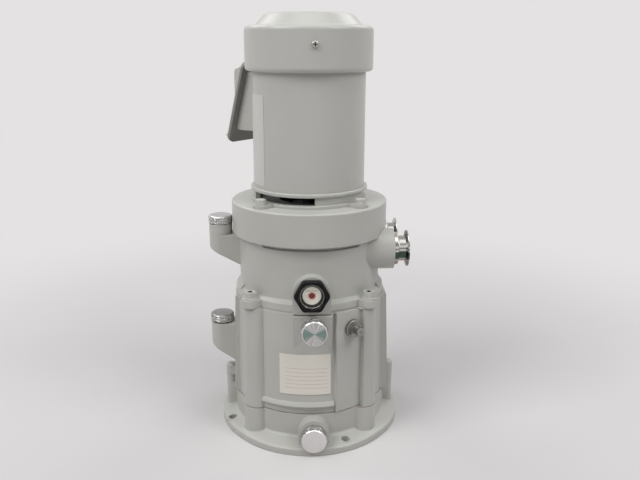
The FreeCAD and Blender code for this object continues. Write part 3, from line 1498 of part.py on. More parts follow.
def make_crankshaft():
    """The pump's shaft with its web and crank pin, the counterweight and its bearing."""
    shaft = revolved("crank_turned", [
        (0, CRANK_WEB_FOOT),
        (s.crank_web_radius, CRANK_WEB_FOOT, 1.0),
        (s.crank_web_radius, CRANK_WEB_TOP, 1.0),
        (s.crank_shoulder_radius, CRANK_WEB_TOP),
        (s.crank_shoulder_radius, CRANK_BEARING_FOOT),
        (s.crank_radius, CRANK_BEARING_FOOT),
        (s.crank_radius, WELL_FLOOR + 0.5),
        (s.crank_radius - 1.0, WELL_FLOOR + 0.5),
        (s.crank_radius - 1.0, COUPLING_MIDDLE - 1.0, 0.8),
        (0, COUPLING_MIDDLE - 1.0),
    ])
    pin_foot = ORBIT_TOP + 1.0
    pin = cylinder("crank_pin", s.eccentric_radius, CRANK_WEB_FOOT - pin_foot + 1.0,
                   ORBIT_RADIUS, 0.0, pin_foot)
    keep(fuse("crankshaft", [shaft, pin]), "crankshaft")
    weight = cylinder("weight_outer", s.counterweight_radius, s.crank_web, z=CRANK_WEB_FOOT,
                      turn=outward(180.0), sweep=180.0)
    keep(cut("counterweight", weight, [
        cylinder("weight_bore", s.crank_web_radius + 0.02, s.crank_web + 2.0,
                 z=CRANK_WEB_FOOT - 1.0)]), "counterweight")
    keep(revolved("shaft_seal", [
        (s.shaft_seal_radius - 0.02, SEAL_FOOT + 0.02),
        (s.shaft_seal_radius - 0.02, WELL_FLOOR),
        (s.crank_radius + s.running_gap, WELL_FLOOR),
        (s.crank_radius + s.running_gap, WELL_FLOOR - 2.0),
        (s.crank_radius + 3.0, WELL_FLOOR - 2.0),
        (s.crank_radius + 3.0, SEAL_FOOT + 2.0),
        (s.crank_radius + s.running_gap, SEAL_FOOT + 2.0),
        (s.crank_radius + s.running_gap, SEAL_FOOT + 0.02),
    ]), "shaft_seal")


def coupling_hub(name, bore, hub_foot, jaw_foot, first):
    """One half of the jaw coupling: a hub with three jaws on its face."""
    solids = [cylinder(f"{name}_disc", s.coupling_radius, s.coupling_hub, z=hub_foot)]
    for index in range(3):
        solids.append(cylinder(f"{name}_jaw", s.coupling_radius, s.coupling_jaw, z=jaw_foot,
                               turn=outward(first + index * 120.0),
                               sweep=s.coupling_jaw_sweep))
    hole = cylinder(f"{name}_bore", bore, s.coupling_hub + 30.0, z=hub_foot - 12.0)
    centre = cylinder(f"{name}_centre", s.coupling_radius * 0.5, s.coupling_jaw,
                      z=jaw_foot)
    solid = fuse(f"{name}_solid", solids)
    keep(cut(name, solid, [hole, centre]), name)


def make_coupling():
    """The jaw coupling between the motor and the pump, with its rubber spider."""
    coupling_hub("coupling_pump_hub", s.crank_radius - 1.0 + 0.02, COUPLING_FOOT,
                 COUPLING_MIDDLE, 0.0)
    coupling_hub("coupling_motor_hub", s.motor_shaft_radius + 0.02, COUPLING_JAW_TOP,
                 COUPLING_JAW_TOP - s.coupling_jaw, 60.0)
    gap = s.coupling_gap
    solids = [cylinder("spider_ring", s.coupling_radius * 0.45, s.coupling_jaw - gap,
                       z=COUPLING_MIDDLE + gap)]
    leg = 60.0 - s.coupling_jaw_sweep - 3.0
    for index in range(6):
        azimuth = index * 60.0 + s.coupling_jaw_sweep + 1.5
        solids.append(cylinder("spider_leg", s.coupling_radius - 0.5, s.coupling_jaw - gap,
                               z=COUPLING_MIDDLE + gap, turn=outward(azimuth), sweep=leg))
    keep(fuse("coupling_spider", solids), "coupling_spider")


def make_motor_shell():
    """The motor's plain round shell."""
    keep(revolved("motor_shell", [
        (s.shell_radius - s.shell_wall, SHELL_FOOT),
        (s.shell_radius, SHELL_FOOT),
        (s.shell_radius, SHELL_TOP),
        (s.shell_radius - s.shell_wall, SHELL_TOP),
    ]), "motor_shell")


def slot_boxes(name, clearance, foot, height, inner):
    """The stator's slots, or the copper in them where a clearance is taken off."""
    boxes = []
    for index in range(int(s.slot_count)):
        boxes.append(arm(name, SLOT_REACH - clearance, s.slot_width - clearance * 2, height,
                         foot, index * 360.0 / s.slot_count, inner + clearance))
    return boxes


def make_stator():
    """The stator's core with its slots, and the windings with their end turns."""
    bore = s.rotor_radius + s.air_gap
    tube = revolved("stator_tube", [
        (bore, STATOR_FOOT),
        (s.shell_radius - s.shell_wall - s.spigot_gap, STATOR_FOOT),
        (s.shell_radius - s.shell_wall - s.spigot_gap, STATOR_TOP),
        (bore, STATOR_TOP),
    ])
    inner = bore + 3.0
    keep(cut("stator_core", tube,
             slot_boxes("stator_slot", 0.0, STATOR_FOOT - 1.0, s.stator_length + 2.0, inner)),
         "stator_core")
    solids = slot_boxes("copper_bar", s.slot_clearance, STATOR_FOOT - 4.0,
                        s.stator_length + 8.0, inner)
    for name, foot in (("end_turn_low", STATOR_FOOT - 2.0 - s.end_turn_height),
                       ("end_turn_high", STATOR_TOP + 2.0)):
        solids.append(revolved(name, [
            (inner + s.slot_clearance, foot, 3.0),
            (SLOT_REACH + 3.0, foot, 4.0),
            (SLOT_REACH + 3.0, foot + s.end_turn_height, 4.0),
            (inner + s.slot_clearance, foot + s.end_turn_height, 3.0),
        ]))
    keep(fuse("stator_windings", solids), "stator_windings")


def make_rotor():
    """The motor's shaft, the squirrel cage rotor and the bearings' rings."""
    keep(revolved("motor_shaft", [
        (0, COUPLING_JAW_TOP + 1.0),
        (s.motor_shaft_radius, COUPLING_JAW_TOP + 1.0, 0.8),
        (s.motor_shaft_radius, LOWER_BEARING_TOP),
        (s.motor_core_shaft_radius, LOWER_BEARING_TOP),
        (s.motor_core_shaft_radius, UPPER_BEARING_FOOT),
        (s.motor_shaft_radius, UPPER_BEARING_FOOT),
        (s.motor_shaft_radius, UPPER_BEARING_TOP),
        (s.fan_shaft_radius, UPPER_BEARING_TOP),
        (s.fan_shaft_radius, FAN_FOOT + s.fan_height + 2.0, 0.8),
        (0, FAN_FOOT + s.fan_height + 2.0),
    ]), "motor_shaft")
    bore = s.motor_core_shaft_radius + 0.02
    keep(revolved("rotor_core", [
        (bore, STATOR_FOOT + 2.0),
        (s.end_ring_bore, STATOR_FOOT + 2.0),
        (s.end_ring_bore, STATOR_FOOT + 2.0 - s.end_ring_height),
        (s.rotor_radius - 1.0, STATOR_FOOT + 2.0 - s.end_ring_height),
        (s.rotor_radius - 1.0, STATOR_FOOT + 2.0),
        (s.rotor_radius, STATOR_FOOT + 2.0),
        (s.rotor_radius, STATOR_TOP - 2.0),
        (s.rotor_radius - 1.0, STATOR_TOP - 2.0),
        (s.rotor_radius - 1.0, STATOR_TOP - 2.0 + s.end_ring_height),
        (s.end_ring_bore, STATOR_TOP - 2.0 + s.end_ring_height),
        (s.end_ring_bore, STATOR_TOP - 2.0),
        (bore, STATOR_TOP - 2.0),
    ]), "rotor_core")
    width = s.motor_bearing_width
    outers = [bearing_outer("crank_outer_ring", s.crank_bearing_radius - 0.02,
                            s.crank_bearing_width, CRANK_BEARING_FOOT)]
    inners = [bearing_inner("crank_inner_ring", s.crank_radius + 0.02, s.crank_bearing_radius,
                            s.crank_bearing_width, CRANK_BEARING_FOOT)]
    for foot in (LOWER_BEARING_FOOT, UPPER_BEARING_FOOT):
        outers.append(bearing_outer("motor_outer_ring", s.motor_bearing_radius - 0.02, width,
                                    foot))
        inners.append(bearing_inner("motor_inner_ring", s.motor_shaft_radius + 0.02,
                                    s.motor_bearing_radius, width, foot))
    keep(group("bearing_outer_rings", outers), "bearing_outer_rings")
    keep(group("bearing_inner_rings", inners), "bearing_inner_rings")


def make_top_bracket():
    """The motor's upper end bracket, with the ears that the fan cover is screwed to."""
    inside = s.shell_radius - s.shell_wall - s.spigot_gap
    plate_foot = SHELL_TOP + s.top_bracket_flange - s.top_bracket_plate
    disc = revolved("top_disc", [
        (s.motor_shaft_radius + 2.0, SHELL_TOP + s.top_bracket_flange),
        (s.shell_radius, SHELL_TOP + s.top_bracket_flange, 1.0),
        (s.shell_radius, SHELL_TOP),
        (inside, SHELL_TOP),
        (inside, SHELL_TOP - s.spigot_depth),
        (inside - 5.0, SHELL_TOP - s.spigot_depth),
        (inside - 5.0, plate_foot),
        (s.motor_hub_radius, plate_foot),
        (s.motor_hub_radius, UPPER_BEARING_FOOT - 1.0),
        (s.motor_bearing_radius, UPPER_BEARING_FOOT - 1.0),
        (s.motor_bearing_radius, UPPER_BEARING_TOP),
        (s.motor_shaft_radius + 2.0, UPPER_BEARING_TOP),
    ])
    solids = [disc]
    tools = []
    rim = COVER_RADIUS - s.cover_wall - 0.2
    for azimuth in cover_screw_azimuths():
        blade = arm("cover_ear", rim + 5.0, s.cover_ear_width, s.cover_ear_top, SHELL_TOP + 1.0,
                    azimuth, rim - s.cover_ear_depth)
        solids.append(common("cover_ear_trimmed", [
            blade, cylinder("cover_ear_limit", rim, 60.0, z=SHELL_TOP)]))
        x, y = around(rim - 7.0, azimuth)
        tools.append(cylinder("cover_ear_hole", 1.8, 20.0, x, y,
                              COVER_FOOT + s.cover_screw_height,
                              outward(azimuth).multiply(TURNS["X"])))
    keep(cut("upper_end_bracket", fuse("top_solid", solids), tools), "upper_end_bracket")


def cover_screw_azimuths():
    """The screws of the fan cover, evenly round it."""
    step = 360.0 / int(s.cover_screw_count)
    return tuple(s.cover_screw_azimuth + step * index
                 for index in range(int(s.cover_screw_count)))


def make_fan_cover():
    """The fan cover: a thin pressed bowl with a raised top and radial air slots."""
    inner = COVER_RADIUS - s.cover_wall
    lip = COVER_RADIUS - s.cover_curl - 0.5
    top = COVER_TOP
    dome = COVER_TOP + s.dome_height
    wall = s.cover_wall
    shell = revolved("cover_shell", [
        (lip, COVER_FOOT),
        (COVER_RADIUS, COVER_FOOT, s.cover_curl),
        (COVER_RADIUS, top, s.cover_shoulder),
        (DOME_RADIUS, top, 2.0),
        (DOME_TOP_RADIUS, dome, 7.0),
        (0, dome),
        (0, dome - wall),
        (DOME_TOP_RADIUS - 1.2, dome - wall, 5.0),
        (DOME_RADIUS - 1.2, top - wall, 3.0),
        (inner, top - wall, s.cover_shoulder - wall),
        (inner, COVER_FOOT + wall, s.cover_curl - wall),
        (lip, COVER_FOOT + wall),
    ])
    tools = []
    for index in range(int(s.grille_slots)):
        tools.append(arm("grille_slot", COVER_RADIUS - s.grille_inset, s.grille_slot_width,
                         s.dome_height * 2, dome - s.dome_height,
                         index * 360.0 / s.grille_slots, s.grille_inner))
    for azimuth in cover_screw_azimuths():
        x, y = around(inner - 1.0, azimuth)
        tools.append(cylinder("cover_screw_hole", 2.2, 8.0, x, y,
                              COVER_FOOT + s.cover_screw_height,
                              outward(azimuth).multiply(TURNS["X"])))
    keep(cut("fan_cover", shell, tools), "fan_cover")


def make_cover_screws():
    """The pan-head screws round the fan cover."""
    screws = []
    for azimuth in cover_screw_azimuths():
        x, y = around(COVER_RADIUS + 0.1, azimuth)
        screws.append(screw("cover_screw", 3.6, 2.4, 1.7, 8.0, x, y,
                            COVER_FOOT + s.cover_screw_height,
                            turn=outward(azimuth).multiply(TURNS["X"])))
    keep(group("fan_cover_screws", screws), "fan_cover_screws")


def make_fan():
    """The cooling fan on the end of the motor's shaft."""
    solids = [
        cylinder("fan_hub", s.fan_hub_radius, s.fan_height, z=FAN_FOOT),
        cylinder("fan_plate", FAN_RADIUS * 0.7, s.fan_blade, z=FAN_FOOT),
    ]
    for index in range(int(s.fan_blades)):
        solids.append(arm("fan_blade", FAN_RADIUS, s.fan_blade, s.fan_height, FAN_FOOT,
                          index * 360.0 / s.fan_blades, s.fan_hub_radius - 2.0))
    keep(cut("cooling_fan", fuse("fan_solid", solids), [
        cylinder("fan_bore", s.fan_shaft_radius + 0.02, s.fan_height + 2.0, z=FAN_FOOT - 1.0)]),
        "cooling_fan")


class TerminalFrame:
    """Directions on the terminal box's sloped joint, and points on it."""

    def __init__(self):
        self.turn = outward(s.terminal_azimuth)
        self.foot = SHELL_FOOT + s.terminal_foot_lift
        self.head = SHELL_FOOT + s.terminal_head_lift
        self.foot_reach = s.shell_radius + s.terminal_foot_rise
        self.head_reach = s.shell_radius + s.terminal_head_rise
        rise = self.head - self.foot
        fall = self.foot_reach - self.head_reach
        self.slope = fall / rise
        self.length = math.hypot(rise, fall)
        self.tilt = math.atan2(fall, rise)
        out = self.turn.multVec(FreeCAD.Vector(1, 0, 0))
        up = FreeCAD.Vector(0, 0, 1)
        self.side = self.turn.multVec(FreeCAD.Vector(0, 1, 0))
        self.along = up * math.cos(self.tilt) - out * math.sin(self.tilt)
        self.normal = out * math.cos(self.tilt) + up * math.sin(self.tilt)
        middle_reach = float(self.foot_reach + self.head_reach) / 2
        middle_level = float(self.foot + self.head) / 2
        self.middle = out * middle_reach + up * middle_level
        self.plate_turn = FreeCAD.Rotation(self.side, self.along, self.normal, "XYZ")

    def reach_at(self, level):
        """How far the sloped joint stands from the motor's axis at a level."""
        return self.foot_reach - (level - self.foot) * self.slope

    def point(self, across, along, out):
        """A point on the joint, by its place across, along and out of it."""
        return self.middle + self.side * across + self.along * along + self.normal * out


def make_terminal_box():
    """The terminal box behind the left of the motor: box, flange plate, lid, gland and screws."""
    frame = TerminalFrame()
    foot = frame.foot + s.terminal_margin
    head = frame.head - s.terminal_head_margin
    wall = s.terminal_wall
    inside = s.shell_radius - 6.0
    solid = padded("terminal_solid", [
        (inside, foot), (frame.reach_at(foot), foot, 4.0),
        (frame.reach_at(head), head), (inside, head)],
        s.terminal_width, "XZ_Plane", turn=frame.turn, both=True)
    hollow = padded("terminal_hollow", [
        (s.shell_radius + wall, foot + wall),
        (frame.reach_at(foot + wall) + 4.0, foot + wall),
        (frame.reach_at(head - wall) + 4.0, head - wall),
        (s.shell_radius + wall, head - wall)],
        s.terminal_width - wall * 2, "XZ_Plane", turn=frame.turn, both=True)
    gland_level = foot + 20.0
    gland_reach = s.shell_radius + 16.0
    base = frame.turn.multVec(FreeCAD.Vector(gland_reach, 0, gland_level))
    gland_turn = frame.turn.multiply(TURNS["-Y"])
    gland_hole = cylinder("gland_hole", s.gland_radius - 2.0, s.terminal_width, base.x,
                          base.y, base.z, gland_turn)
    motor = cylinder("terminal_motor", s.shell_radius + 0.05, s.shell_length * 1.5,
                     z=SHELL_FOOT)
    keep(cut("terminal_box", solid, [hollow, motor, gland_hole]), "terminal_box")

    width = s.terminal_plate_width
    length = frame.length
    corner = frame.point(0, 0, 0)
    plate = padded("terminal_plate_solid", rounded_rectangle(width, length, 9.0),
                   s.terminal_plate, x=corner.x, y=corner.y, z=corner.z, turn=frame.plate_turn)
    mouth = frame.point(0, 0, -1.0)
    opening = padded("terminal_plate_mouth", rounded_rectangle(
        s.terminal_width - wall * 2, length * 0.62, 3.0), s.terminal_plate + 2.0,
        x=mouth.x, y=mouth.y, z=mouth.z, turn=frame.plate_turn)
    keep(cut("terminal_plate", plate, [opening] + terminal_screw_holes(frame)), "terminal_plate")

    make_terminal_lid(frame)
    make_terminal_screws(frame)
    rail = frame.turn.multVec(FreeCAD.Vector(s.shell_radius + wall + 0.3, -9.0, foot + 30.0))
    block = box("terminal_block_base", 7.0, 18.0, 26.0, rail.x, rail.y, rail.z, frame.turn)
    studs = []
    for index in range(3):
        stud = frame.turn.multVec(FreeCAD.Vector(s.shell_radius + wall + 5.0, 0,
                                                 foot + 35.0 + index * 8.0))
        studs.append(cylinder("terminal_stud", 1.8, 7.0, stud.x, stud.y, stud.z,
                              frame.turn.multiply(TURNS["X"])))
    keep(fuse("terminal_block", [block] + studs), "terminal_block")

    side = -s.terminal_width / 2
    seat = frame.turn.multVec(FreeCAD.Vector(gland_reach, side, gland_level))
    gland = revolved("gland_turned", [
        (s.gland_bore, -4.0),
        (s.gland_radius - 2.1, -4.0),
        (s.gland_radius - 2.1, 0.05),
        (s.gland_radius + 1.5, 0.05),
        (s.gland_radius + 1.5, 4.0),
        (s.gland_radius, 4.0),
        (s.gland_radius, s.gland_length, 3.0),
        (s.gland_bore, s.gland_length),
    ], x=seat.x, y=seat.y, z=seat.z, turn=gland_turn)
    keep(gland, "cable_gland")


def make_terminal_lid(frame):
    """The pale lid, deeper at its top, with a thin flange on the plate."""
    wall = s.lid_wall
    width = s.terminal_plate_width
    seat = frame.point(0, 0, s.terminal_plate + 0.05)
    flange = padded("lid_flange_solid", rounded_rectangle(width - 1.0, frame.length - 1.0, 8.5),
                    s.lid_flange, x=seat.x, y=seat.y, z=seat.z, turn=frame.plate_turn)
    step = (s.terminal_plate + 0.4) / math.cos(frame.tilt)
    foot = frame.foot + s.lid_foot_margin
    head = frame.head - 7.0
    knee = frame.foot + s.lid_knee
    reach = s.shell_radius + s.lid_rise

    def side_outline(inset):
        """The lid's outline from the side, or its hollow where it is inset."""
        back = -1.0 if inset == 0 else -6.0
        return [
            (frame.reach_at(foot + inset) + step + back + 1.0, foot + inset),
            (frame.reach_at(foot) + step + 3.6 - inset, foot + inset, 2.0),
            (reach - inset, knee, 12.0),
            (reach - inset, head - inset, 5.0),
            (frame.reach_at(head - inset) + step + back + 1.0, head - inset),
        ]

    bulge = padded("lid_bulge", side_outline(0.0), s.lid_width, "XZ_Plane", turn=frame.turn,
                   both=True)
    hollow = padded("lid_hollow", side_outline(wall), s.lid_width - wall * 2, "XZ_Plane",
                    turn=frame.turn, both=True)
    keep(cut("terminal_lid", fuse("lid_solid", [flange, bulge]),
             [hollow] + terminal_screw_holes(frame)), "terminal_lid")


def terminal_corners(frame, out):
    """The places of the lid's four screws, at a height above the sloped joint."""
    across = s.terminal_plate_width / 2 - 2.9
    along = frame.length / 2 - 8.0
    return [frame.point(side * across, end * along, out) for side in (-1, 1) for end in (-1, 1)]


def terminal_screw_holes(frame):
    """The holes for the lid's screws."""
    return [cylinder("terminal_screw_hole", 1.3, 10.0, corner.x, corner.y, corner.z,
                     frame.plate_turn) for corner in terminal_corners(frame, -3.0)]


def make_terminal_screws(frame):
    """The four screws through the corners of the lid's flange."""
    screws = []
    for seat in terminal_corners(frame, s.terminal_plate + s.lid_flange + 0.1):
        screws.append(screw("terminal_screw", 2.0, 1.8, 1.2, s.terminal_plate + 1.0,
                            seat.x, seat.y, seat.z, turn=frame.plate_turn))
    keep(group("terminal_screws", screws), "terminal_screws")


def build():
    """Makes every piece of the pump, from the base up."""
    make_base_casting()
    make_base_gasket()
    make_base_bolts()
    make_lower_casing()
    make_casing_gasket()
    make_upper_casing()
    make_casing_bolts()
    make_sight_glass()
    make_plug()
    make_rating_plate()
    make_caps()
    make_ports()
    make_intake_pipe()
    make_pump_frame()
    make_fixed_scroll()
    make_scroll_bolts()
    make_discharge_valve()
    make_orbiting_scroll()
    make_pin_cranks()
    make_crankshaft()
    make_motor_adapter()
    make_coupling()
    make_motor_bracket()
    make_bracket_bolts()
    make_motor_shell()
    make_stator()
    make_rotor()
    make_top_bracket()
    make_fan()
    make_fan_cover()
    make_cover_screws()
    make_terminal_box()


def write_parts():
    """Checks every object and writes one file per piece."""
    doc.recompute()
    failed = [thing.Label for thing in doc.Objects
              if "Invalid" in thing.State or "Error" in thing.State]
    if failed:
        raise RuntimeError(f"failed objects: {failed}")
    for node in nodes:
        if node.Shape.isNull() or not node.Shape.isValid():
            raise RuntimeError(f"{node.Label} has no valid shape")
        if not node.Shape.Solids:
            raise RuntimeError(f"{node.Label} holds no solid")
    os.makedirs("parts", exist_ok=True)
    for node in nodes:
        node.Shape.exportStep(f"parts/{node.Label}.step")
        print(node.Label, len(node.Shape.Solids), "solids", round(node.Shape.Volume / 1000, 2))
    print(len(nodes), "pieces")


build()
write_parts()
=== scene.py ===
"""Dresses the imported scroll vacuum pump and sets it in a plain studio."""

import json
import logging
import math
from dataclasses import dataclass
from enum import Enum
from functools import cache
from typing import Callable, ClassVar

import bmesh
import bpy
from mathutils import Matrix, Vector


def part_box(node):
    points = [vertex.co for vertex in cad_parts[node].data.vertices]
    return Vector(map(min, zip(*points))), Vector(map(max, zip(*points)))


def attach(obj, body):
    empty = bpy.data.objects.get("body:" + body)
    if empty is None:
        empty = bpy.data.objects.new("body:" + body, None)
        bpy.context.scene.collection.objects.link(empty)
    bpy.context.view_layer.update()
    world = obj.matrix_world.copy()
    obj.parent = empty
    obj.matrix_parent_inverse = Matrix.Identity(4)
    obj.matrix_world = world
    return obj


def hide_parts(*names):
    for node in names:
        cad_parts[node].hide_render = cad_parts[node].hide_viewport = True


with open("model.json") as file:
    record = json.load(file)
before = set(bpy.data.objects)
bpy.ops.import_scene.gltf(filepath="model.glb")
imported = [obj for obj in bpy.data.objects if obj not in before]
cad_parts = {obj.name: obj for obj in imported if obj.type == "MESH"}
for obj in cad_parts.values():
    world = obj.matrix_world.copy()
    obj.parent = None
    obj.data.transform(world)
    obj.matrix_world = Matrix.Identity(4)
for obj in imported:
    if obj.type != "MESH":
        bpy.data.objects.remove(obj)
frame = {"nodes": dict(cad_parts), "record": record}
log = logging.getLogger("pump")
Colour = tuple[float, float, float]
Triple = tuple[float, float, float]
Stops = list[tuple[float, Colour]]
Socket = bpy.types.NodeSocket
Material = bpy.types.Material
Piece = bpy.types.Object
Face = bmesh.types.BMFace

MM = 0.001
SQUARE_ON = 0.9
EVEN = (1.0, 1.0, 1.0)
NOWHERE = (0.0, 0.0, 0.0)


def linear(red: int, green: int, blue: int) -> Colour:
    """Turns a colour as it looks on a screen into the shader's own units.

    Args:
        red: Red, from 0 to 255.
        green: Green, from 0 to 255.
        blue: Blue, from 0 to 255.

    Returns:
        The same colour in linear light.
    """
    return tuple(share / 12.92 if share <= 0.04045 else ((share + 0.055) / 1.055) ** 2.4
                 for share in (red / 255, green / 255, blue / 255))


def grey(level: float) -> Colour:
    """An even grey in the shader's own units."""
    return level, level, level


class Pattern(Enum):
    """The way a finish varies over its surface."""

    CAST = "cast"
    SMOOTH = "smooth"
    TURNED = "turned"
    BRUSHED = "brushed"


class Facing(Enum):
    """The direction that a round piece looks in."""

    UP = "up"
    FRONT = "front"
    RIGHT = "right"


TURN_TO = {
    Facing.UP: Matrix.Identity(4),
    Facing.FRONT: Matrix.Rotation(math.radians(90), 4, "X"),
}
AXES_ACROSS = {Facing.UP: (0, 1), Facing.FRONT: (0, 2), Facing.RIGHT: (1, 2)}


class Graph:
    """A small helper that adds and links the nodes of one tree."""

    def __init__(self, tree: bpy.types.NodeTree) -> None:
        """Keeps the tree that the nodes go into."""
        self.tree = tree

    def add(self, kind: str, **settings: object) -> bpy.types.Node:
        """Adds a node and sets its options.

        Args:
            kind: The node's type.
            settings: The node's properties by name.

        Returns:
            The new node.
        """
        node = self.tree.nodes.new(kind)
        for name, value in settings.items():
            setattr(node, name, value)
        return node

    def link(self, source: Socket, target: Socket) -> None:
        """Joins two sockets."""
        self.tree.links.new(source, target)

    def math(self, operation: str, first: object, second: object = 0.0,
             third: object = 0.5) -> Socket:
        """Works out one sum on sockets or plain numbers.

        Args:
            operation: The name of the sum.
            first: A socket or a number.
            second: A socket or a number.
            third: A socket or a number, for a sum of three.

        Returns:
            The socket that holds the answer.
        """
        node = self.add("ShaderNodeMath", operation=operation)
        for index, value in enumerate((first, second, third)):
            if isinstance(value, Socket):
                self.link(value, node.inputs[index])
            else:
                node.inputs[index].default_value = value
        return node.outputs[0]

    def seen(self) -> Socket:
        """Gives 1 to the camera, in mirrors and through glass, and 0 to all other light.

        Returns:
            The socket that holds the answer.
        """
        path = self.add("ShaderNodeLightPath")
        mirrored = self.math("MAXIMUM", path.outputs["Is Glossy Ray"],
                             path.outputs["Is Transmission Ray"])
        return self.math("MAXIMUM", path.outputs["Is Camera Ray"], mirrored)

    def mix(self, share: Socket, first: Socket, second: Socket) -> Socket:
        """Mixes two shaders.

        Args:
            share: The socket that says how much of the second shows.
            first: The first shader.
            second: The second shader.

        Returns:
            The socket that holds the mixed shader.
        """
        node = self.add("ShaderNodeMixShader")
        for index, socket in enumerate((share, first, second)):
            self.link(socket, node.inputs[index])
        return node.outputs["Shader"]


class Nodes(Graph):
    """The nodes of one new material, with its shader and the surface's place."""

    bevel_samples: int = 6

    def __init__(self, name: str) -> None:
        """Starts a material with only its shader and output.

        Args:
            name: The material's name.
        """
        self.material = bpy.data.materials.new(name)
        self.material.use_nodes = True
        super().__init__(self.material.node_tree)
        self.shader = self.tree.nodes["Principled BSDF"]
        self.place = self.add("ShaderNodeTexCoord").outputs["Object"]

    def mapped(self, scale: Triple = EVEN, shift: Triple = NOWHERE) -> Socket:
        """Gives the surface's place, stretched and shifted.

        Args:
            scale: How many times the place is stretched along each axis.
            shift: What is added to the stretched place.

        Returns:
            The socket that holds the mapped place.
        """
        mapping = self.add("ShaderNodeMapping")
        mapping.inputs["Scale"].default_value = scale
        mapping.inputs["Location"].default_value = shift
        self.link(self.place, mapping.inputs["Vector"])
        return mapping.outputs["Vector"]

    def noise(self, scale: float, detail: float, stretch: Triple = EVEN) -> Socket:
        """A cloudy pattern from 0 to 1.

        Args:
            scale: How many clouds there are in a metre.
            detail: How many finer layers are added.
            stretch: How much finer the pattern is along each axis.

        Returns:
            The socket that holds the pattern.
        """
        node = self.add("ShaderNodeTexNoise")
        node.inputs["Scale"].default_value = scale
        node.inputs["Detail"].default_value = detail
        self.link(self.mapped(stretch), node.inputs["Vector"])
        return node.outputs["Fac"]

    def steps(self, factor: Socket, stops: Stops) -> Socket:
        """Turns a factor into a colour along a list of stops.

        Args:
            factor: The socket that chooses the place along the list.
            stops: Places from 0 to 1, each with its colour.

        Returns:
            The socket that holds the colour.
        """
        ramp = self.add("ShaderNodeValToRGB")
        elements = ramp.color_ramp.elements
        while len(elements) < len(stops):
            elements.new(0.5)
        for element, (position, colour) in zip(elements, stops):
            element.position = position
            element.color = (*colour, 1.0)
        self.link(factor, ramp.inputs["Fac"])
        return ramp.outputs["Color"]

    def span(self, factor: Socket, low: float, high: float) -> Socket:
        """Spreads a factor from 0 to 1 over a range of values.

        Args:
            factor: The socket that holds the factor.
            low: What 0 becomes.
            high: What 1 becomes.

        Returns:
            The socket that holds the value.
        """
        node = self.add("ShaderNodeMapRange")
        node.inputs["To Min"].default_value = low
        node.inputs["To Max"].default_value = high
        self.link(factor, node.inputs["Value"])
        return node.outputs["Result"]

    def split(self, vector: Socket) -> list[Socket]:
        """Takes a vector apart.

        Args:
            vector: The socket that holds the vector.

        Returns:
            The sockets that hold its x, y and z.
        """
        node = self.add("ShaderNodeSeparateXYZ")
        self.link(vector, node.inputs[0])
        return list(node.outputs)

    def length(self, first: object, second: object) -> Socket:
        """The length of a flat vector from its two parts."""
        squares = [self.math("POWER", part, 2.0) for part in (first, second)]
        return self.math("SQRT", self.math("ADD", *squares))

    def between(self, value: Socket, low: float, high: float) -> Socket:
        """Gives 1 where a value lies in a range, and 0 outside it."""
        above = self.math("GREATER_THAN", value, low)
        return self.math("MULTIPLY", above, self.math("LESS_THAN", value, high))

    def blend(self, factor: Socket, first: Socket, second: Colour) -> Socket:
        """Lays a plain colour over another.

        Args:
            factor: The socket that says how much of the plain colour shows.
            first: The socket of the colour underneath.
            second: The plain colour.

        Returns:
            The socket that holds the mixed colour.
        """
        mix = self.add("ShaderNodeMix", data_type="RGBA")
        self.link(factor, mix.inputs["Factor"])
        self.link(first, mix.inputs["A"])
        mix.inputs["B"].default_value = (*second, 1.0)
        return mix.outputs["Result"]

    def bump(self, height: Socket, depth: float, edge: float) -> None:
        """Roughens the surface and rounds its edges and corners over.

        Args:
            height: The socket that holds the height, from 0 to 1.
            depth: The height in metres that 1 stands for.
            edge: The radius that edges and inner corners are rounded to, in metres.
        """
        node = self.add("ShaderNodeBump")
        node.inputs["Distance"].default_value = depth
        self.link(height, node.inputs["Height"])
        if edge > 0.0:
            rounded = self.add("ShaderNodeBevel", samples=self.bevel_samples)
            rounded.inputs["Radius"].default_value = edge
            self.link(rounded.outputs["Normal"], node.inputs["Normal"])
        self.link(node.outputs["Normal"], self.shader.inputs["Normal"])


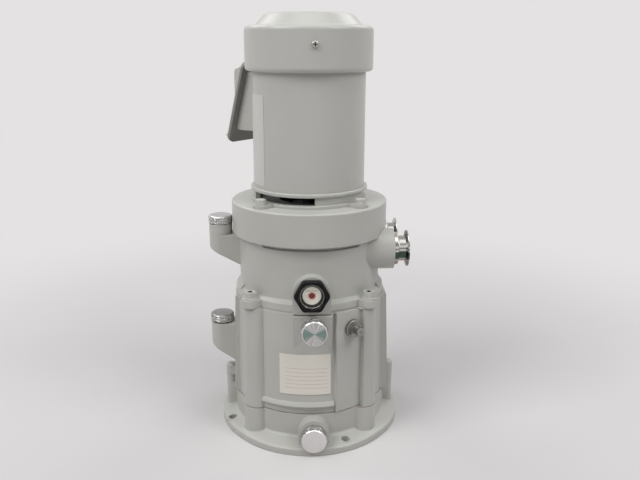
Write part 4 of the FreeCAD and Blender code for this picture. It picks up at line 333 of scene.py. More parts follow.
@dataclass(frozen=True)
class Finish:
    """One surface finish, as plain values."""

    name: str
    colour: Colour
    roughness: float = 0.5
    metallic: float = 0.0
    specular: float = 0.5
    coat: float = 0.0
    variation: float = 0.06
    grain: float = 900.0
    depth: float = 0.04 * MM
    edge: float = 0.0
    clouds: float = 14.0
    pattern: Pattern = Pattern.SMOOTH
    axis: Facing = Facing.UP
    centre: Triple = NOWHERE

    coat_roughness: ClassVar[float] = 0.2
    cloud_detail: ClassVar[float] = 6.0
    coarse_detail: ClassVar[float] = 5.0
    grain_detail: ClassVar[float] = 3.0
    fine_detail: ClassVar[float] = 2.0
    cloud_stops: ClassVar[Triple] = (0.3, 0.55, 0.75)
    light_share: ClassVar[float] = 0.7
    roughness_spread: ClassVar[float] = 0.15
    coarse_scale: ClassVar[float] = 0.25
    coarse_share: ClassVar[float] = 0.7
    brush_scale: ClassVar[float] = 0.1
    brush_stretch: ClassVar[Triple] = (1.0, 1.0, 30.0)
    ring_waves: ClassVar[float] = 9000.0
    ring_share: ClassVar[float] = 0.35
    ring_clouds: ClassVar[float] = 60.0

    def shade(self, amount: float) -> Colour:
        """The finish's colour, lighter or darker by a share."""
        return tuple(min(1.0, max(0.0, channel * (1.0 + amount))) for channel in self.colour)

    def build(self) -> Material:
        """Makes the material.

        Returns:
            The finished material.
        """
        nodes = Nodes(self.name)
        shader = nodes.shader
        for socket, value in (("Metallic", self.metallic),
                              ("Specular IOR Level", self.specular),
                              ("Coat Weight", self.coat),
                              ("Coat Roughness", self.coat_roughness)):
            shader.inputs[socket].default_value = value
        dark, middle, light = self.cloud_stops
        colour = nodes.steps(nodes.noise(self.clouds, self.cloud_detail), [
            (dark, self.shade(-self.variation)),
            (middle, self.colour),
            (light, self.shade(self.variation * self.light_share)),
        ])
        nodes.link(self.tint(nodes, colour), shader.inputs["Base Color"])
        fine = self.relief(nodes)
        rough = nodes.span(fine, self.roughness * (1.0 - self.roughness_spread),
                           min(1.0, self.roughness * (1.0 + self.roughness_spread)))
        nodes.link(rough, shader.inputs["Roughness"])
        nodes.bump(fine, self.depth, self.edge)
        return nodes.material

    def tint(self, nodes: Nodes, colour: Socket) -> Socket:
        """The place where a special finish lays something over the colour."""
        return colour

    def relief(self, nodes: Nodes) -> Socket:
        """The small-scale height of the surface.

        Args:
            nodes: The material that the pattern goes into.

        Returns:
            The socket that holds the height, from 0 to 1.
        """
        if self.pattern is Pattern.BRUSHED:
            return nodes.noise(self.grain * self.brush_scale, self.grain_detail,
                               self.brush_stretch)
        if self.pattern is Pattern.TURNED:
            return self.rings(nodes)
        if self.pattern is Pattern.CAST:
            coarse = nodes.noise(self.grain * self.coarse_scale, self.coarse_detail)
            fine = nodes.noise(self.grain, self.grain_detail)
            return nodes.math("ADD", nodes.math("MULTIPLY", coarse, self.coarse_share),
                              nodes.math("MULTIPLY", fine, 1.0 - self.coarse_share))
        return nodes.noise(self.grain, self.fine_detail)

    def across(self, nodes: Nodes) -> list[Socket]:
        """The two distances from the finish's own axis.

        Args:
            nodes: The material that they go into.

        Returns:
            The sockets that hold them.
        """
        shift = tuple(-part for part in self.centre)
        parts = nodes.split(nodes.mapped(shift=shift))
        return [parts[index] for index in AXES_ACROSS[self.axis]]

    def rings(self, nodes: Nodes) -> Socket:
        """Fine lathe marks about the piece's own axis.

        Args:
            nodes: The material that the pattern goes into.

        Returns:
            The socket that holds the height, from 0 to 1.
        """
        radius = nodes.length(*self.across(nodes))
        wave = nodes.math("SINE", nodes.math("MULTIPLY", radius, self.ring_waves))
        marks = nodes.math("MULTIPLY", nodes.math("ADD", wave, 1.0), self.ring_share)
        wander = nodes.math("MULTIPLY", nodes.noise(self.ring_clouds, self.fine_detail),
                            1.0 - 2.0 * self.ring_share)
        return nodes.math("ADD", marks, wander)


@dataclass(frozen=True)
class SocketShadePaint(Finish):
    """Paint over four socket screws, with their sockets bare and painted near black as painted
    shade.
    """

    reach: float = 64.0 * MM
    turn: float = 1.5
    socket: float = 2.75 * MM
    # Bare socket darkened to near black: painted shade.
    dark: Colour = (0.012, 0.012, 0.011)

    def tint(self, nodes: Nodes, colour: Socket) -> Socket:
        """Darkens a round spot at each screw's axis: the bare socket, with painted shade.

        Args:
            nodes: The material that the spots go into.
            colour: The paint's colour.

        Returns:
            The socket that holds the spotted colour.
        """
        mapping = nodes.add("ShaderNodeMapping")
        mapping.inputs["Rotation"].default_value = (0.0, 0.0, math.radians(self.turn))
        nodes.link(nodes.place, mapping.inputs["Vector"])
        away = [nodes.math("SUBTRACT", nodes.math("ABSOLUTE", part), self.reach)
                for part in nodes.split(mapping.outputs["Vector"])[:2]]
        near = nodes.math("LESS_THAN", nodes.length(*away), self.socket)
        return nodes.blend(near, colour, self.dark)


@dataclass(frozen=True)
class HollowShadePaint(Finish):
    """Paint on the outside of a ring, with bare casting inside it painted near black as
    painted shade.
    """

    hollow: float = 57.0 * MM
    # Near black: painted shade inside the ring.
    dark: Colour = grey(0.006)

    def tint(self, nodes: Nodes, colour: Socket) -> Socket:
        """Darkens everything near the ring's axis, as painted shade."""
        radius = nodes.length(*nodes.split(nodes.place)[:2])
        return nodes.blend(nodes.math("LESS_THAN", radius, self.hollow), colour, self.dark)


@dataclass(frozen=True)
class TurnedMetal(Finish):
    """Turned metal with painted reflections: tinted wedges on the flanks of its face and fine
    darker streaks out from its centre.
    """

    # Painted reflections: the flank colour goes into the wedges, the dark grey into the
    # streaks.
    reflection_wedge: float = 0.3
    streaks: float = 0.3
    face: float = 11.5 * MM
    flank_reflection: Colour = (0.16, 0.26, 0.23)
    reflection_dark: Colour = grey(0.16)

    streak_scale: ClassVar[float] = 5.0
    streak_detail: ClassVar[float] = 3.0
    streak_stops: ClassVar[tuple[float, float]] = (0.36, 0.64)
    wedge_stops: ClassVar[tuple[float, float]] = (0.42, 0.92)

    def tint(self, nodes: Nodes, colour: Socket) -> Socket:
        """Paints reflections on the face: darker streaks that run out from its centre, and
        tinted wedges on its flanks.

        Args:
            nodes: The material that the streaks go into.
            colour: The metal's colour.

        Returns:
            The socket that holds the streaked colour.
        """
        first, second = self.across(nodes)
        on_face = nodes.math("LESS_THAN", nodes.length(first, second), self.face)
        angle = nodes.math("ARCTAN2", second, first)
        round_the_axis = nodes.add("ShaderNodeTexNoise", noise_dimensions="1D")
        round_the_axis.inputs["Scale"].default_value = self.streak_scale
        round_the_axis.inputs["Detail"].default_value = self.streak_detail
        nodes.link(angle, round_the_axis.inputs["W"])
        low, high = self.streak_stops
        streak = nodes.steps(round_the_axis.outputs["Fac"],
                             [(low, grey(0.0)), (high, grey(self.streaks))])
        wave = nodes.math("COSINE", nodes.math("MULTIPLY", angle, 2.0))
        low, high = self.wedge_stops
        sides = nodes.steps(nodes.math("MULTIPLY_ADD", wave, 0.5),
                            [(low, grey(0.0)), (high, grey(self.reflection_wedge))])
        # Painted reflections: darker streaks first, then tinted wedges on the flanks.
        reflection_streaked = nodes.blend(nodes.math("MULTIPLY", streak, on_face), colour, self.reflection_dark)
        return nodes.blend(nodes.math("MULTIPLY", sides, on_face), reflection_streaked, self.flank_reflection)


@dataclass(frozen=True)
class Knurl(Finish):
    """Fine diamond knurling, with painted glints on its points and painted shade in its
    valleys.
    """

    # Painted shade in the valleys, painted glints on the points.
    valley_shade: Colour = grey(0.10)
    point_glint: Colour = (0.92, 0.91, 0.90)

    stops: ClassVar[tuple[float, ...]] = (0.38, 0.47, 0.53, 0.62)

    def tint(self, nodes: Nodes, colour: Socket) -> Socket:
        """Speckles the band from painted shade in the valleys to painted glints on the points.

        Args:
            nodes: The material that the speckles go into.
            colour: The plain colour, which gives way to the speckles.

        Returns:
            The socket that holds the speckled colour.
        """
        colours = (self.valley_shade, self.colour, self.colour, self.point_glint)
        return nodes.steps(nodes.noise(self.clouds, self.fine_detail),
                           list(zip(self.stops, colours)))


@dataclass(frozen=True)
class PolishedRound(Finish):
    """Polished metal with painted reflections: light and dark streaks along its round sides.
    """

    radius: float = 20.0 * MM

    # Painted reflections: light, dark, greenish and pinkish bands across the axis.
    streaks: ClassVar[Stops] = [
        (0.00, linear(150, 136, 136)), (0.22, linear(168, 154, 154)),
        (0.27, linear(200, 198, 192)), (0.31, linear(74, 90, 80)),
        (0.49, linear(70, 82, 76)), (0.54, linear(220, 220, 216)),
        (0.58, linear(120, 120, 117)), (0.63, linear(225, 224, 220)),
        (0.69, linear(135, 134, 130)), (1.00, linear(190, 188, 184)),
    ]

    def tint(self, nodes: Nodes, colour: Socket) -> Socket:
        """Paints reflections on the metal as soft streaks that run along its axis."""
        level = self.across(nodes)[1]
        return nodes.steps(nodes.math("MULTIPLY_ADD", level, 0.5 / self.radius), self.streaks)


@dataclass(frozen=True)
class RuledPlate(Finish):
    """A bare printed plate with only the thin rules of an empty form."""

    first: float = 70.0 * MM
    last: float = 92.5 * MM
    pitch: float = 4.5 * MM
    width: float = 0.035
    left: float = -29.0 * MM
    right: float = 17.0 * MM
    margin: float = 1.0 * MM
    ink: Colour = (0.42, 0.33, 0.27)

    def tint(self, nodes: Nodes, colour: Socket) -> Socket:
        """Draws the rules across the plate.

        Args:
            nodes: The material that the rules go into.
            colour: The plate's colour.

        Returns:
            The socket that holds the ruled colour.
        """
        across, _, level = nodes.split(nodes.place)
        start = nodes.math("SUBTRACT", level, self.first - self.pitch / 2)
        rows = nodes.math("FRACT", nodes.math("DIVIDE", start, self.pitch))
        line = nodes.between(rows, 0.5 - self.width, 0.5 + self.width)
        band = nodes.between(level, self.first - self.margin, self.last + self.margin)
        span = nodes.between(across, self.left, self.right)
        shown = nodes.math("MULTIPLY", line, nodes.math("MULTIPLY", band, span))
        return nodes.blend(shown, colour, self.ink)


PAINT = Finish("pump_paint", linear(186, 186, 180), 0.42, coat=0.12, variation=0.035,
               grain=420.0, depth=0.1 * MM, edge=2.2 * MM, pattern=Pattern.CAST)
SHEET_PAINT = Finish("sheet_paint", linear(187, 187, 182), 0.38, coat=0.15, variation=0.025,
                     grain=500.0, depth=0.03 * MM, edge=0.35 * MM)
LID_PAINT = Finish("lid_paint", linear(190, 190, 184), 0.4, coat=0.1, variation=0.02,
                   grain=500.0, depth=0.03 * MM, edge=0.8 * MM)
BOLT_PAINT = SocketShadePaint("bolt_paint_socket_shade", linear(190, 190, 184), 0.4, coat=0.12, variation=0.03,
                         grain=500.0)
RING_PAINT = HollowShadePaint("ring_paint_inner_shade", linear(186, 186, 180), 0.42, coat=0.12, variation=0.035,
                         grain=420.0, depth=0.1 * MM, edge=0.8 * MM, pattern=Pattern.CAST)
SEAM = Finish("seam_paint", linear(152, 144, 134), 0.6, variation=0.35, grain=500.0,
              clouds=60.0)
ZINC = Finish("zinc_screws", linear(176, 172, 160), 0.34, metallic=1.0, variation=0.12,
              grain=700.0)
SCREW_STEEL = Finish("screw_steel", linear(176, 174, 168), 0.26, metallic=1.0, variation=0.1,
                     grain=700.0)
# The cross recess of the cover screws, painted dark: painted shade.
RECESS_SHADE = Finish("screw_recess_shade", linear(44, 43, 41), 0.5, metallic=0.6, variation=0.1)
# The ports' steel, with painted reflections in streaks along them.
PORT_STEEL = PolishedRound("port_steel", linear(205, 203, 198), 0.22, metallic=1.0,
                           grain=500.0, depth=0.01 * MM, pattern=Pattern.TURNED,
                           axis=Facing.RIGHT, centre=(0.0, -30.0 * MM, 210.8 * MM))
PLUG_STEEL = Finish("plug_steel", linear(150, 150, 145), 0.3, metallic=1.0, variation=0.35,
                    grain=700.0, edge=0.4 * MM, clouds=260.0)
BLACK = Finish("bezel_black", linear(9, 9, 10), 0.28, specular=0.2, variation=0.15,
               depth=0.02 * MM)
# The terminal box's plate: darker than the body paint, partly its own grey and partly painted
# shade on its side facing the motor.
TERMINAL_GREY_AND_SHADE = Finish("terminal_grey_and_shade", linear(134, 133, 129), 0.55, variation=0.05)
PLATE = RuledPlate("bare_plate", linear(226, 221, 210), 0.4, coat=0.2, variation=0.015,
                   grain=800.0, depth=0.01 * MM)
LABEL = Finish("bare_label", linear(205, 204, 201), 0.45, variation=0.02, grain=800.0,
               depth=0.01 * MM)
# The coupling hubs, near black as painted shade in the bracket's window.
HUB_SHADE = Finish("hub_shade", linear(26, 26, 26), 0.6, metallic=0.3, pattern=Pattern.TURNED)
RUBBER = Finish("rubber", linear(30, 30, 30), 0.7, variation=0.1)
IRON = Finish("machined_iron", linear(128, 128, 128), 0.45, metallic=1.0,
              pattern=Pattern.TURNED)
SCROLL = Finish("scroll_aluminium", linear(190, 190, 192), 0.35, metallic=1.0,
                pattern=Pattern.TURNED, depth=0.01 * MM)
GROUND = Finish("ground_steel", linear(190, 190, 190), 0.25, metallic=1.0,
                pattern=Pattern.TURNED, depth=0.01 * MM)
CORE = Finish("core_steel", linear(110, 112, 116), 0.5, metallic=1.0,
              pattern=Pattern.BRUSHED)
COPPER = Finish("varnished_copper", linear(150, 84, 52), 0.3, metallic=0.8, coat=0.4,
                variation=0.2, grain=600.0, depth=0.2 * MM)
FAN = Finish("fan_plastic", linear(52, 52, 54), 0.5, variation=0.08)
KNURL_GREY = linear(176, 174, 172)

WEAR = {
    "paint": PAINT,
    "gasket": PAINT,
    "screws": ZINC,
    "seal_rubber": RUBBER,
    "port_steel": PORT_STEEL,
    "bezel_black": BLACK,
    "plug_steel": PLUG_STEEL,
    "plate_bare": PLATE,
    "terminal_dark": TERMINAL_GREY_AND_SHADE,
    "frame_iron": IRON,
    "scroll_aluminium": SCROLL,
    "turned_steel": GROUND,
    "core_steel": CORE,
    "copper": COPPER,
    "fan_plastic": FAN,
}
NODE_FINISH = {
    "motor_shell": SHEET_PAINT,
    "fan_cover": SHEET_PAINT,
    "terminal_lid": LID_PAINT,
    "casing_bolts": BOLT_PAINT,
    "bracket_bolts": LID_PAINT,
    "base_gasket": SEAM,
    "motor_bracket": RING_PAINT,
    "motor_adapter": RING_PAINT,
    "coupling_pump_hub": HUB_SHADE,
    "coupling_motor_hub": HUB_SHADE,
}


@cache
def material_of(finish: Finish) -> Material:
    """Makes a finish's material once, for all the pieces that wear it."""
    return finish.build()


def centre_of(node: str) -> Vector:
    """The middle of a CAD node's box."""
    low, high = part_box(node)
    return (low + high) / 2


def dress(piece: Piece, *materials: Material) -> None:
    """Gives a piece these materials in place of what it has.

    Args:
        piece: The object to dress.
        materials: The materials, in the order of its slots.
    """
    piece.data.materials.clear()
    for material in materials:
        piece.data.materials.append(material)


def leave_edit_mode() -> None:
    """Goes back to object mode, if an object is being edited."""
    if bpy.context.object and bpy.context.object.mode != "OBJECT":
        bpy.ops.object.mode_set(mode="OBJECT")


def clear_selection() -> None:
    """Selects nothing, so that an operator touches only what is picked next."""
    leave_edit_mode()
    bpy.ops.object.select_all(action="DESELECT")


def pick(piece: Piece) -> None:
    """Selects one object alone.

    Args:
        piece: The object to select.
    """
    clear_selection()
    piece.select_set(True)
    bpy.context.view_layer.objects.active = piece


def add_cylinder(sides: int, radius: float, depth: float, **settings: object) -> Piece:
    """Adds a cylinder that stands on the origin, unless its settings say otherwise.

    Args:
        sides: How many sides it has.
        radius: Its radius.
        depth: Its height.
        settings: The operator's other settings by name.

    Returns:
        The cylinder, as the active object.
    """
    clear_selection()
    settings.setdefault("location", (0.0, 0.0, depth / 2))
    bpy.ops.mesh.primitive_cylinder_add(vertices=sides, radius=radius, depth=depth, **settings)
    return bpy.context.object


def pick_faces(piece: Piece, test: Callable[[Face], bool]) -> None:
    """Selects the faces of the mesh in edit mode that pass a test.

    Args:
        piece: The object in edit mode.
        test: Says whether a face is wanted.
    """
    bpy.ops.mesh.select_mode(type="FACE")
    bpy.ops.mesh.select_all(action="DESELECT")
    mesh = bmesh.from_edit_mesh(piece.data)
    for face in mesh.faces:
        face.select_set(test(face))
    bmesh.update_edit_mesh(piece.data)


def looks_up(face: Face) -> bool:
    """Whether a face looks up."""
    return face.normal.z > SQUARE_ON


def looks_down(face: Face) -> bool:
    """Whether a face looks down."""
    return face.normal.z < -SQUARE_ON


def step_face(inset: float, rise: float) -> None:
    """Insets the selected face, then pushes its middle up or down."""
    bpy.ops.mesh.inset(thickness=inset)
    bpy.ops.mesh.extrude_region_move(TRANSFORM_OT_translate={"value": (0.0, 0.0, rise)})


def apply_modifier(piece: Piece, kind: str, **settings: object) -> None:
    """Adds a modifier to a piece and applies it at once.

    Args:
        piece: The object to change.
        kind: The modifier's type.
        settings: The modifier's properties by name.
    """
    pick(piece)
    modifier = piece.modifiers.new(kind.lower(), kind)
    for name, value in settings.items():
        setattr(modifier, name, value)
    bpy.ops.object.modifier_apply(modifier=modifier.name)


def cut_with(piece: Piece, cutter: Piece) -> None:
    """Takes a cutter out of a piece and removes the cutter."""
    apply_modifier(piece, "BOOLEAN", operation="DIFFERENCE", object=cutter, solver="EXACT")
    bpy.data.objects.remove(cutter)


def settle(piece: Piece, name: str, turn: Matrix, place: Vector) -> None:
    """Turns and moves a piece into place, with its place in its mesh.

    Args:
        piece: The object, modelled about the origin.
        name: Its final name.
        turn: The rotation that faces it the right way.
        place: Where its own origin goes, in metres.
    """
    leave_edit_mode()
    piece.data.transform(Matrix.Translation(place) @ turn @ piece.matrix_world)
    piece.matrix_world = Matrix.Identity(4)
    piece.name = name
    piece.data.name = name


def smooth(piece: Piece, degrees: float = 35.0) -> None:
    """Shades a piece smoothly, but for edges sharper than an angle."""
    pick(piece)
    bpy.ops.object.shade_smooth_by_angle(angle=math.radians(degrees))


@dataclass
class ScrewCap:
    """One screw cap: its turned body with spigot and seal groove, and its knurled band."""

    node: str
    facing: Facing
    height: float
    # Painted light and reflections, set cap by cap: brightness, wedges and streaks.
    lit_tone: int = 214
    reflection_wedge: float = 0.0
    streaks: float = 0.25
    chamfer: float = 1.3 * MM
    chamfer_steps: int = 3
    sunk: float = 0.35 * MM
    ribs: int = 56
    rows: int = 3
    rise: float = 0.22 * MM
    rib_border: float = 0.3 * MM
    tip_gap: float = 0.03 * MM
    wall: float = 0.4 * MM
    groove_outer: float = 12.5 * MM
    groove_inner: float = 9.9 * MM
    groove_depth: float = 2.0 * MM
    spigot_radius: float = 8.3 * MM
    spigot_length: float = 9.6 * MM

    def radius(self) -> float:
        """How far the cap reaches from its axis."""
        low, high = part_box(self.node)
        return (high.x - low.x) / 2

    def metal(self) -> Material:
        """Makes the cap's turned aluminium, with its rings about its own axis; its brightness
        is painted light, set cap by cap, and its wedges and streaks are painted reflections.

        Returns:
            The metal.
        """
        lit_tone = linear(self.lit_tone, self.lit_tone - 2, self.lit_tone - 3)
        return TurnedMetal(f"{self.node}_metal", lit_tone, 0.27, metallic=1.0, variation=0.04,
                           depth=0.01 * MM, pattern=Pattern.TURNED, axis=self.facing,
                           centre=tuple(centre_of(self.node)), reflection_wedge=self.reflection_wedge,
                           streaks=self.streaks,
                           face=self.radius() - self.sunk - self.chamfer).build()

    def knurl(self) -> Material:
        """The knurled band's metal, speckled with painted glints and painted shade."""
        return Knurl(f"{self.node}_band", KNURL_GREY, 0.36, metallic=1.0, grain=1500.0,
                     clouds=900.0).build()

    def seat(self) -> Vector:
        """Finds the middle of the rim's underside, on the cap's axis.

        Returns:
            The point.
        """
        low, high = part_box(self.node)
        spot = (low + high) / 2
        if self.facing is Facing.UP:
            spot.z = high.z - self.height
        else:
            spot.y = low.y + self.height
        return spot

    def body(self) -> Piece:
        """Turns the cap's body, with the groove for its seal and its spigot.

        Returns:
            The body.
        """
        radius = self.radius() - self.sunk
        body = add_cylinder(self.ribs * 2, radius, self.height)
        bpy.ops.object.mode_set(mode="EDIT")
        pick_faces(body, looks_up)
        bpy.ops.mesh.bevel(offset=self.chamfer, segments=self.chamfer_steps)
        pick_faces(body, looks_down)
        step_face(radius - self.groove_outer, self.groove_depth)
        step_face(self.groove_outer - self.groove_inner, -self.groove_depth)
        step_face(self.groove_inner - self.spigot_radius, -self.spigot_length)
        settle(body, f"{self.node}_turned", TURN_TO[self.facing], self.seat())
        dress(body, self.metal())
        smooth(body)
        return body

    def band(self) -> Piece:
        """Makes the band of fine ribs round the cap.

        Returns:
            The band.
        """
        depth = self.height - self.chamfer
        band = add_cylinder(self.ribs, self.radius() - self.rise - self.tip_gap, depth,
                            end_fill_type="NOTHING")
        bpy.ops.object.mode_set(mode="EDIT")
        for row in range(1, self.rows):
            bpy.ops.mesh.select_all(action="SELECT")
            bpy.ops.mesh.bisect(plane_co=(0.0, 0.0, depth * row / self.rows),
                                plane_no=(0.0, 0.0, 1.0))
        bpy.ops.mesh.select_all(action="SELECT")
        bpy.ops.mesh.inset(thickness=self.rib_border, depth=self.rise, use_individual=True)
        bpy.ops.object.mode_set(mode="OBJECT")
        apply_modifier(band, "SOLIDIFY", thickness=self.wall, offset=-1.0)
        settle(band, f"{self.node}_knurl", TURN_TO[self.facing], self.seat())
        dress(band, self.knurl())
        return band

    def build(self) -> list[Piece]:
        """Makes the cap's body and band.

        Returns:
            The two pieces.
        """
        pieces = [self.body(), self.band()]
        for piece in pieces:
            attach(piece, self.node)
            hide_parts(self.node)
        return pieces


@dataclass
class CoverScrews:
    """The cross-recessed pan-head screws round the fan cover."""

    count: int = 3
    azimuth: float = 3.5
    step: float = 120.0
    seat: float = 0.1 * MM
    sides: int = 32
    radius: float = 3.6 * MM
    height: float = 2.3 * MM
    round_over: float = 1.1 * MM
    round_steps: int = 4
    slot_length: float = 4.0 * MM
    slot_width: float = 0.95 * MM
    slot_depth: float = 1.5 * MM
    shank_radius: float = 1.65 * MM
    shank_length: float = 6.0 * MM
    slack: float = 0.02 * MM

    def screw(self) -> Piece:
        """Models the rounded head with its shank, seated on the origin and facing up.

        Returns:
            The screw.
        """
        screw = add_cylinder(self.sides, self.radius, self.height)
        bpy.ops.object.mode_set(mode="EDIT")
        pick_faces(screw, looks_up)
        bpy.ops.mesh.bevel(offset=self.round_over, segments=self.round_steps)
        pick_faces(screw, looks_down)
        step_face(self.radius - self.shank_radius, -self.shank_length)
        bpy.ops.object.mode_set(mode="OBJECT")
        for turn in (0.0, 90.0):
            clear_selection()
            bpy.ops.mesh.primitive_cube_add(size=1.0, location=(0.0, 0.0, self.height),
                                            rotation=(0.0, 0.0, math.radians(turn)))
            block = bpy.context.object
            block.scale = (self.slot_length, self.slot_width, self.slot_depth * 2)
            cut_with(screw, block)
        settle(screw, "cover_screw", TURN_TO[Facing.UP], Vector())
        smooth(screw)
        return screw

    def paint_recess_shade(self, screw: Piece) -> None:
        """Paints the walls and floor of the recess dark, as painted shade.

        Args:
            screw: The screw, seated on the origin.
        """
        dress(screw, material_of(SCREW_STEEL), material_of(RECESS_SHADE))
        for face in screw.data.polygons:
            spot = face.center
            inside = math.hypot(spot.x, spot.y) < self.slot_length / 2 + self.slack
            deep = self.slack < self.height - spot.z < self.slot_depth + self.slack
            face.material_index = int(inside and deep)

    def build(self) -> list[Piece]:
        """Models one screw and sets its copies in the cover.

        Returns:
            The screws.
        """
        model = self.screw()
        self.paint_recess_shade(model)
        low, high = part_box("fan_cover")
        reach = (high.x - low.x) / 2 + self.seat
        level = centre_of("fan_cover_screws").z
        screws = []
        for number in range(self.count):
            azimuth = math.radians(self.azimuth + self.step * number)
            place = Vector((reach * math.sin(azimuth), -reach * math.cos(azimuth), level))
            turn = Matrix.Rotation(azimuth, 4, "Z") @ TURN_TO[Facing.FRONT]
            screw = model.copy()
            screw.data = model.data.copy()
            bpy.context.scene.collection.objects.link(screw)
            settle(screw, f"cover_screw_{number + 1}", turn, place)
            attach(screw, "pump")
            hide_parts("fan_cover_screws")
            screws.append(screw)
        bpy.data.objects.remove(model)
        return screws


@dataclass
class SightGlass:
    """The oil level glass: its bezel, lens ring, lens and the marked disc behind it."""

    flats: float = 34.0 * MM
    corner: float = 2.5 * MM
    corner_steps: int = 5
    lip: float = 1.7 * MM
    lip_steps: int = 4
    sides: int = 96
    opening: float = 12.8 * MM
    mouth: float = 14.6 * MM
    mouth_depth: float = 2.6 * MM
    groove: float = 16.0 * MM
    groove_wire: float = 0.35 * MM
    groove_steps: int = 8
    ring_radius: float = 12.45 * MM
    ring_wire: float = 0.3 * MM
    ring_steps: int = 12
    ring_crease: float = 60.0
    ring_setback: float = 2.2 * MM
    disc_radius: float = 9.7 * MM
    dot_radius: float = 3.2 * MM
    halo_radius: float = 4.4 * MM
    line_rise: float = 5.4 * MM
    line_half: float = 0.3 * MM
    line_reach: float = 0.85
    reach: float = 16.0 * MM
    white: Colour = linear(242, 234, 226)
    red: Colour = linear(116, 14, 8)
    halo: Colour = linear(224, 178, 166)
    rim: Colour = linear(34, 34, 34)
    line_grey: Colour = linear(160, 152, 146)
    disc_roughness: float = 0.35
    lens_tint: Colour = (0.93, 0.95, 0.92)
    lens_index: float = 1.2
    lens_haze: tuple[float, float] = (0.02, 0.07)
    haze_clouds: float = 220.0
    haze_detail: float = 3.0

    def disc(self) -> Material:
        """Makes the white disc with its red dot and level line.

        Returns:
            The disc's material.
        """
        nodes = Nodes("sight_disc")
        shift = tuple(-centre_of("sight_glass_disc"))
        across, _, level = nodes.split(nodes.mapped(shift=shift))
        radius = nodes.length(across, level)
        bands = nodes.steps(nodes.math("DIVIDE", radius, self.reach), [
            (0.0, self.red),
            (self.dot_radius / self.reach, self.halo),
            (self.halo_radius / self.reach, self.white),
            (self.disc_radius / self.reach, self.rim),
        ])
        bands.node.color_ramp.interpolation = "CONSTANT"
        line = nodes.between(level, self.line_rise - self.line_half,
                             self.line_rise + self.line_half)
        inside = nodes.math("LESS_THAN", radius, self.disc_radius * self.line_reach)
        marked = nodes.blend(nodes.math("MULTIPLY", line, inside), bands, self.line_grey)
        nodes.link(marked, nodes.shader.inputs["Base Color"])
        nodes.shader.inputs["Roughness"].default_value = self.disc_roughness
        return nodes.material

    def glass(self) -> Material:
        """Makes the clear glass with a faint bloom of oil.

        Returns:
            The lens's material.
        """
        nodes = Nodes("sight_lens")
        nodes.shader.inputs["Transmission Weight"].default_value = 1.0
        nodes.shader.inputs["IOR"].default_value = self.lens_index
        nodes.shader.inputs["Base Color"].default_value = (*self.lens_tint, 1.0)
        haze = nodes.noise(self.haze_clouds, self.haze_detail)
        nodes.link(nodes.span(haze, *self.lens_haze), nodes.shader.inputs["Roughness"])
        return nodes.material

    def blank(self, depth: float) -> Piece:
        """Models the six-sided blank with rounded corners and a rounded front, facing up.

        Args:
            depth: The bezel's depth.

        Returns:
            The blank, standing on the origin.
        """
        blank = add_cylinder(6, self.flats / math.sqrt(3.0), depth,
                             rotation=(0.0, 0.0, math.radians(30.0)))
        bpy.ops.object.mode_set(mode="EDIT")
        bpy.ops.mesh.select_mode(type="EDGE")
        bpy.ops.mesh.select_all(action="DESELECT")
        mesh = bmesh.from_edit_mesh(blank.data)
        for edge in mesh.edges:
            first, second = edge.verts
            edge.select_set(abs(first.co.z - second.co.z) > depth / 2)
        bmesh.update_edit_mesh(blank.data)
        bpy.ops.mesh.bevel(offset=self.corner, segments=self.corner_steps)
        pick_faces(blank, looks_up)
        bpy.ops.mesh.bevel(offset=self.lip, segments=self.lip_steps)
        bpy.ops.object.mode_set(mode="OBJECT")
        return blank

    def bezel(self) -> Piece:
        """Makes the bezel: the blank with its hole, its flared mouth and a fine groove.

        Returns:
            The bezel in its place.
        """
        low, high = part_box("sight_glass_bezel")
        depth = high.y - low.y
        bezel = self.blank(depth)
        cut_with(bezel, add_cylinder(self.sides, self.opening, depth * 3,
                                     location=NOWHERE))
        clear_selection()
        bpy.ops.mesh.primitive_cone_add(
            vertices=self.sides, radius1=self.opening, depth=self.mouth_depth * 2,
            radius2=self.mouth * 2 - self.opening, location=(0.0, 0.0, depth))
        cut_with(bezel, bpy.context.object)
        clear_selection()
        bpy.ops.mesh.primitive_torus_add(
            major_segments=self.sides, minor_segments=self.groove_steps,
            major_radius=self.groove, minor_radius=self.groove_wire,
            location=(0.0, 0.0, depth))
        cut_with(bezel, bpy.context.object)
        place = Vector(((low.x + high.x) / 2, high.y, (low.z + high.z) / 2))
        settle(bezel, "sight_bezel", TURN_TO[Facing.FRONT], place)
        dress(bezel, material_of(BLACK))
        smooth(bezel)
        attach(bezel, "pump")
        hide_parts("sight_glass_bezel")
        return bezel

    def ring(self) -> Piece:
        """Makes the thin bright ring that holds the lens in the bezel's mouth.

        Returns:
            The ring in its place.
        """
        low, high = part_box("sight_glass_bezel")
        clear_selection()
        bpy.ops.mesh.primitive_torus_add(
            major_segments=self.sides, minor_segments=self.ring_steps,
            major_radius=self.ring_radius, minor_radius=self.ring_wire)
        ring = bpy.context.object
        place = Vector(((low.x + high.x) / 2, low.y + self.ring_setback,
                        (low.z + high.z) / 2))
        settle(ring, "sight_ring", TURN_TO[Facing.FRONT], place)
        dress(ring, material_of(SCREW_STEEL))
        smooth(ring, self.ring_crease)
        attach(ring, "pump")
        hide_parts("sight_glass_bezel")
        return ring

    def build(self) -> list[Piece]:
        """Dresses the lens and the disc, and makes the bezel and its ring.

        Returns:
            The bezel and the ring.
        """
        dress(frame["nodes"]["sight_glass_disc"], self.disc())
        dress(frame["nodes"]["sight_glass_lens"], self.glass())
        return [self.bezel(), self.ring()]


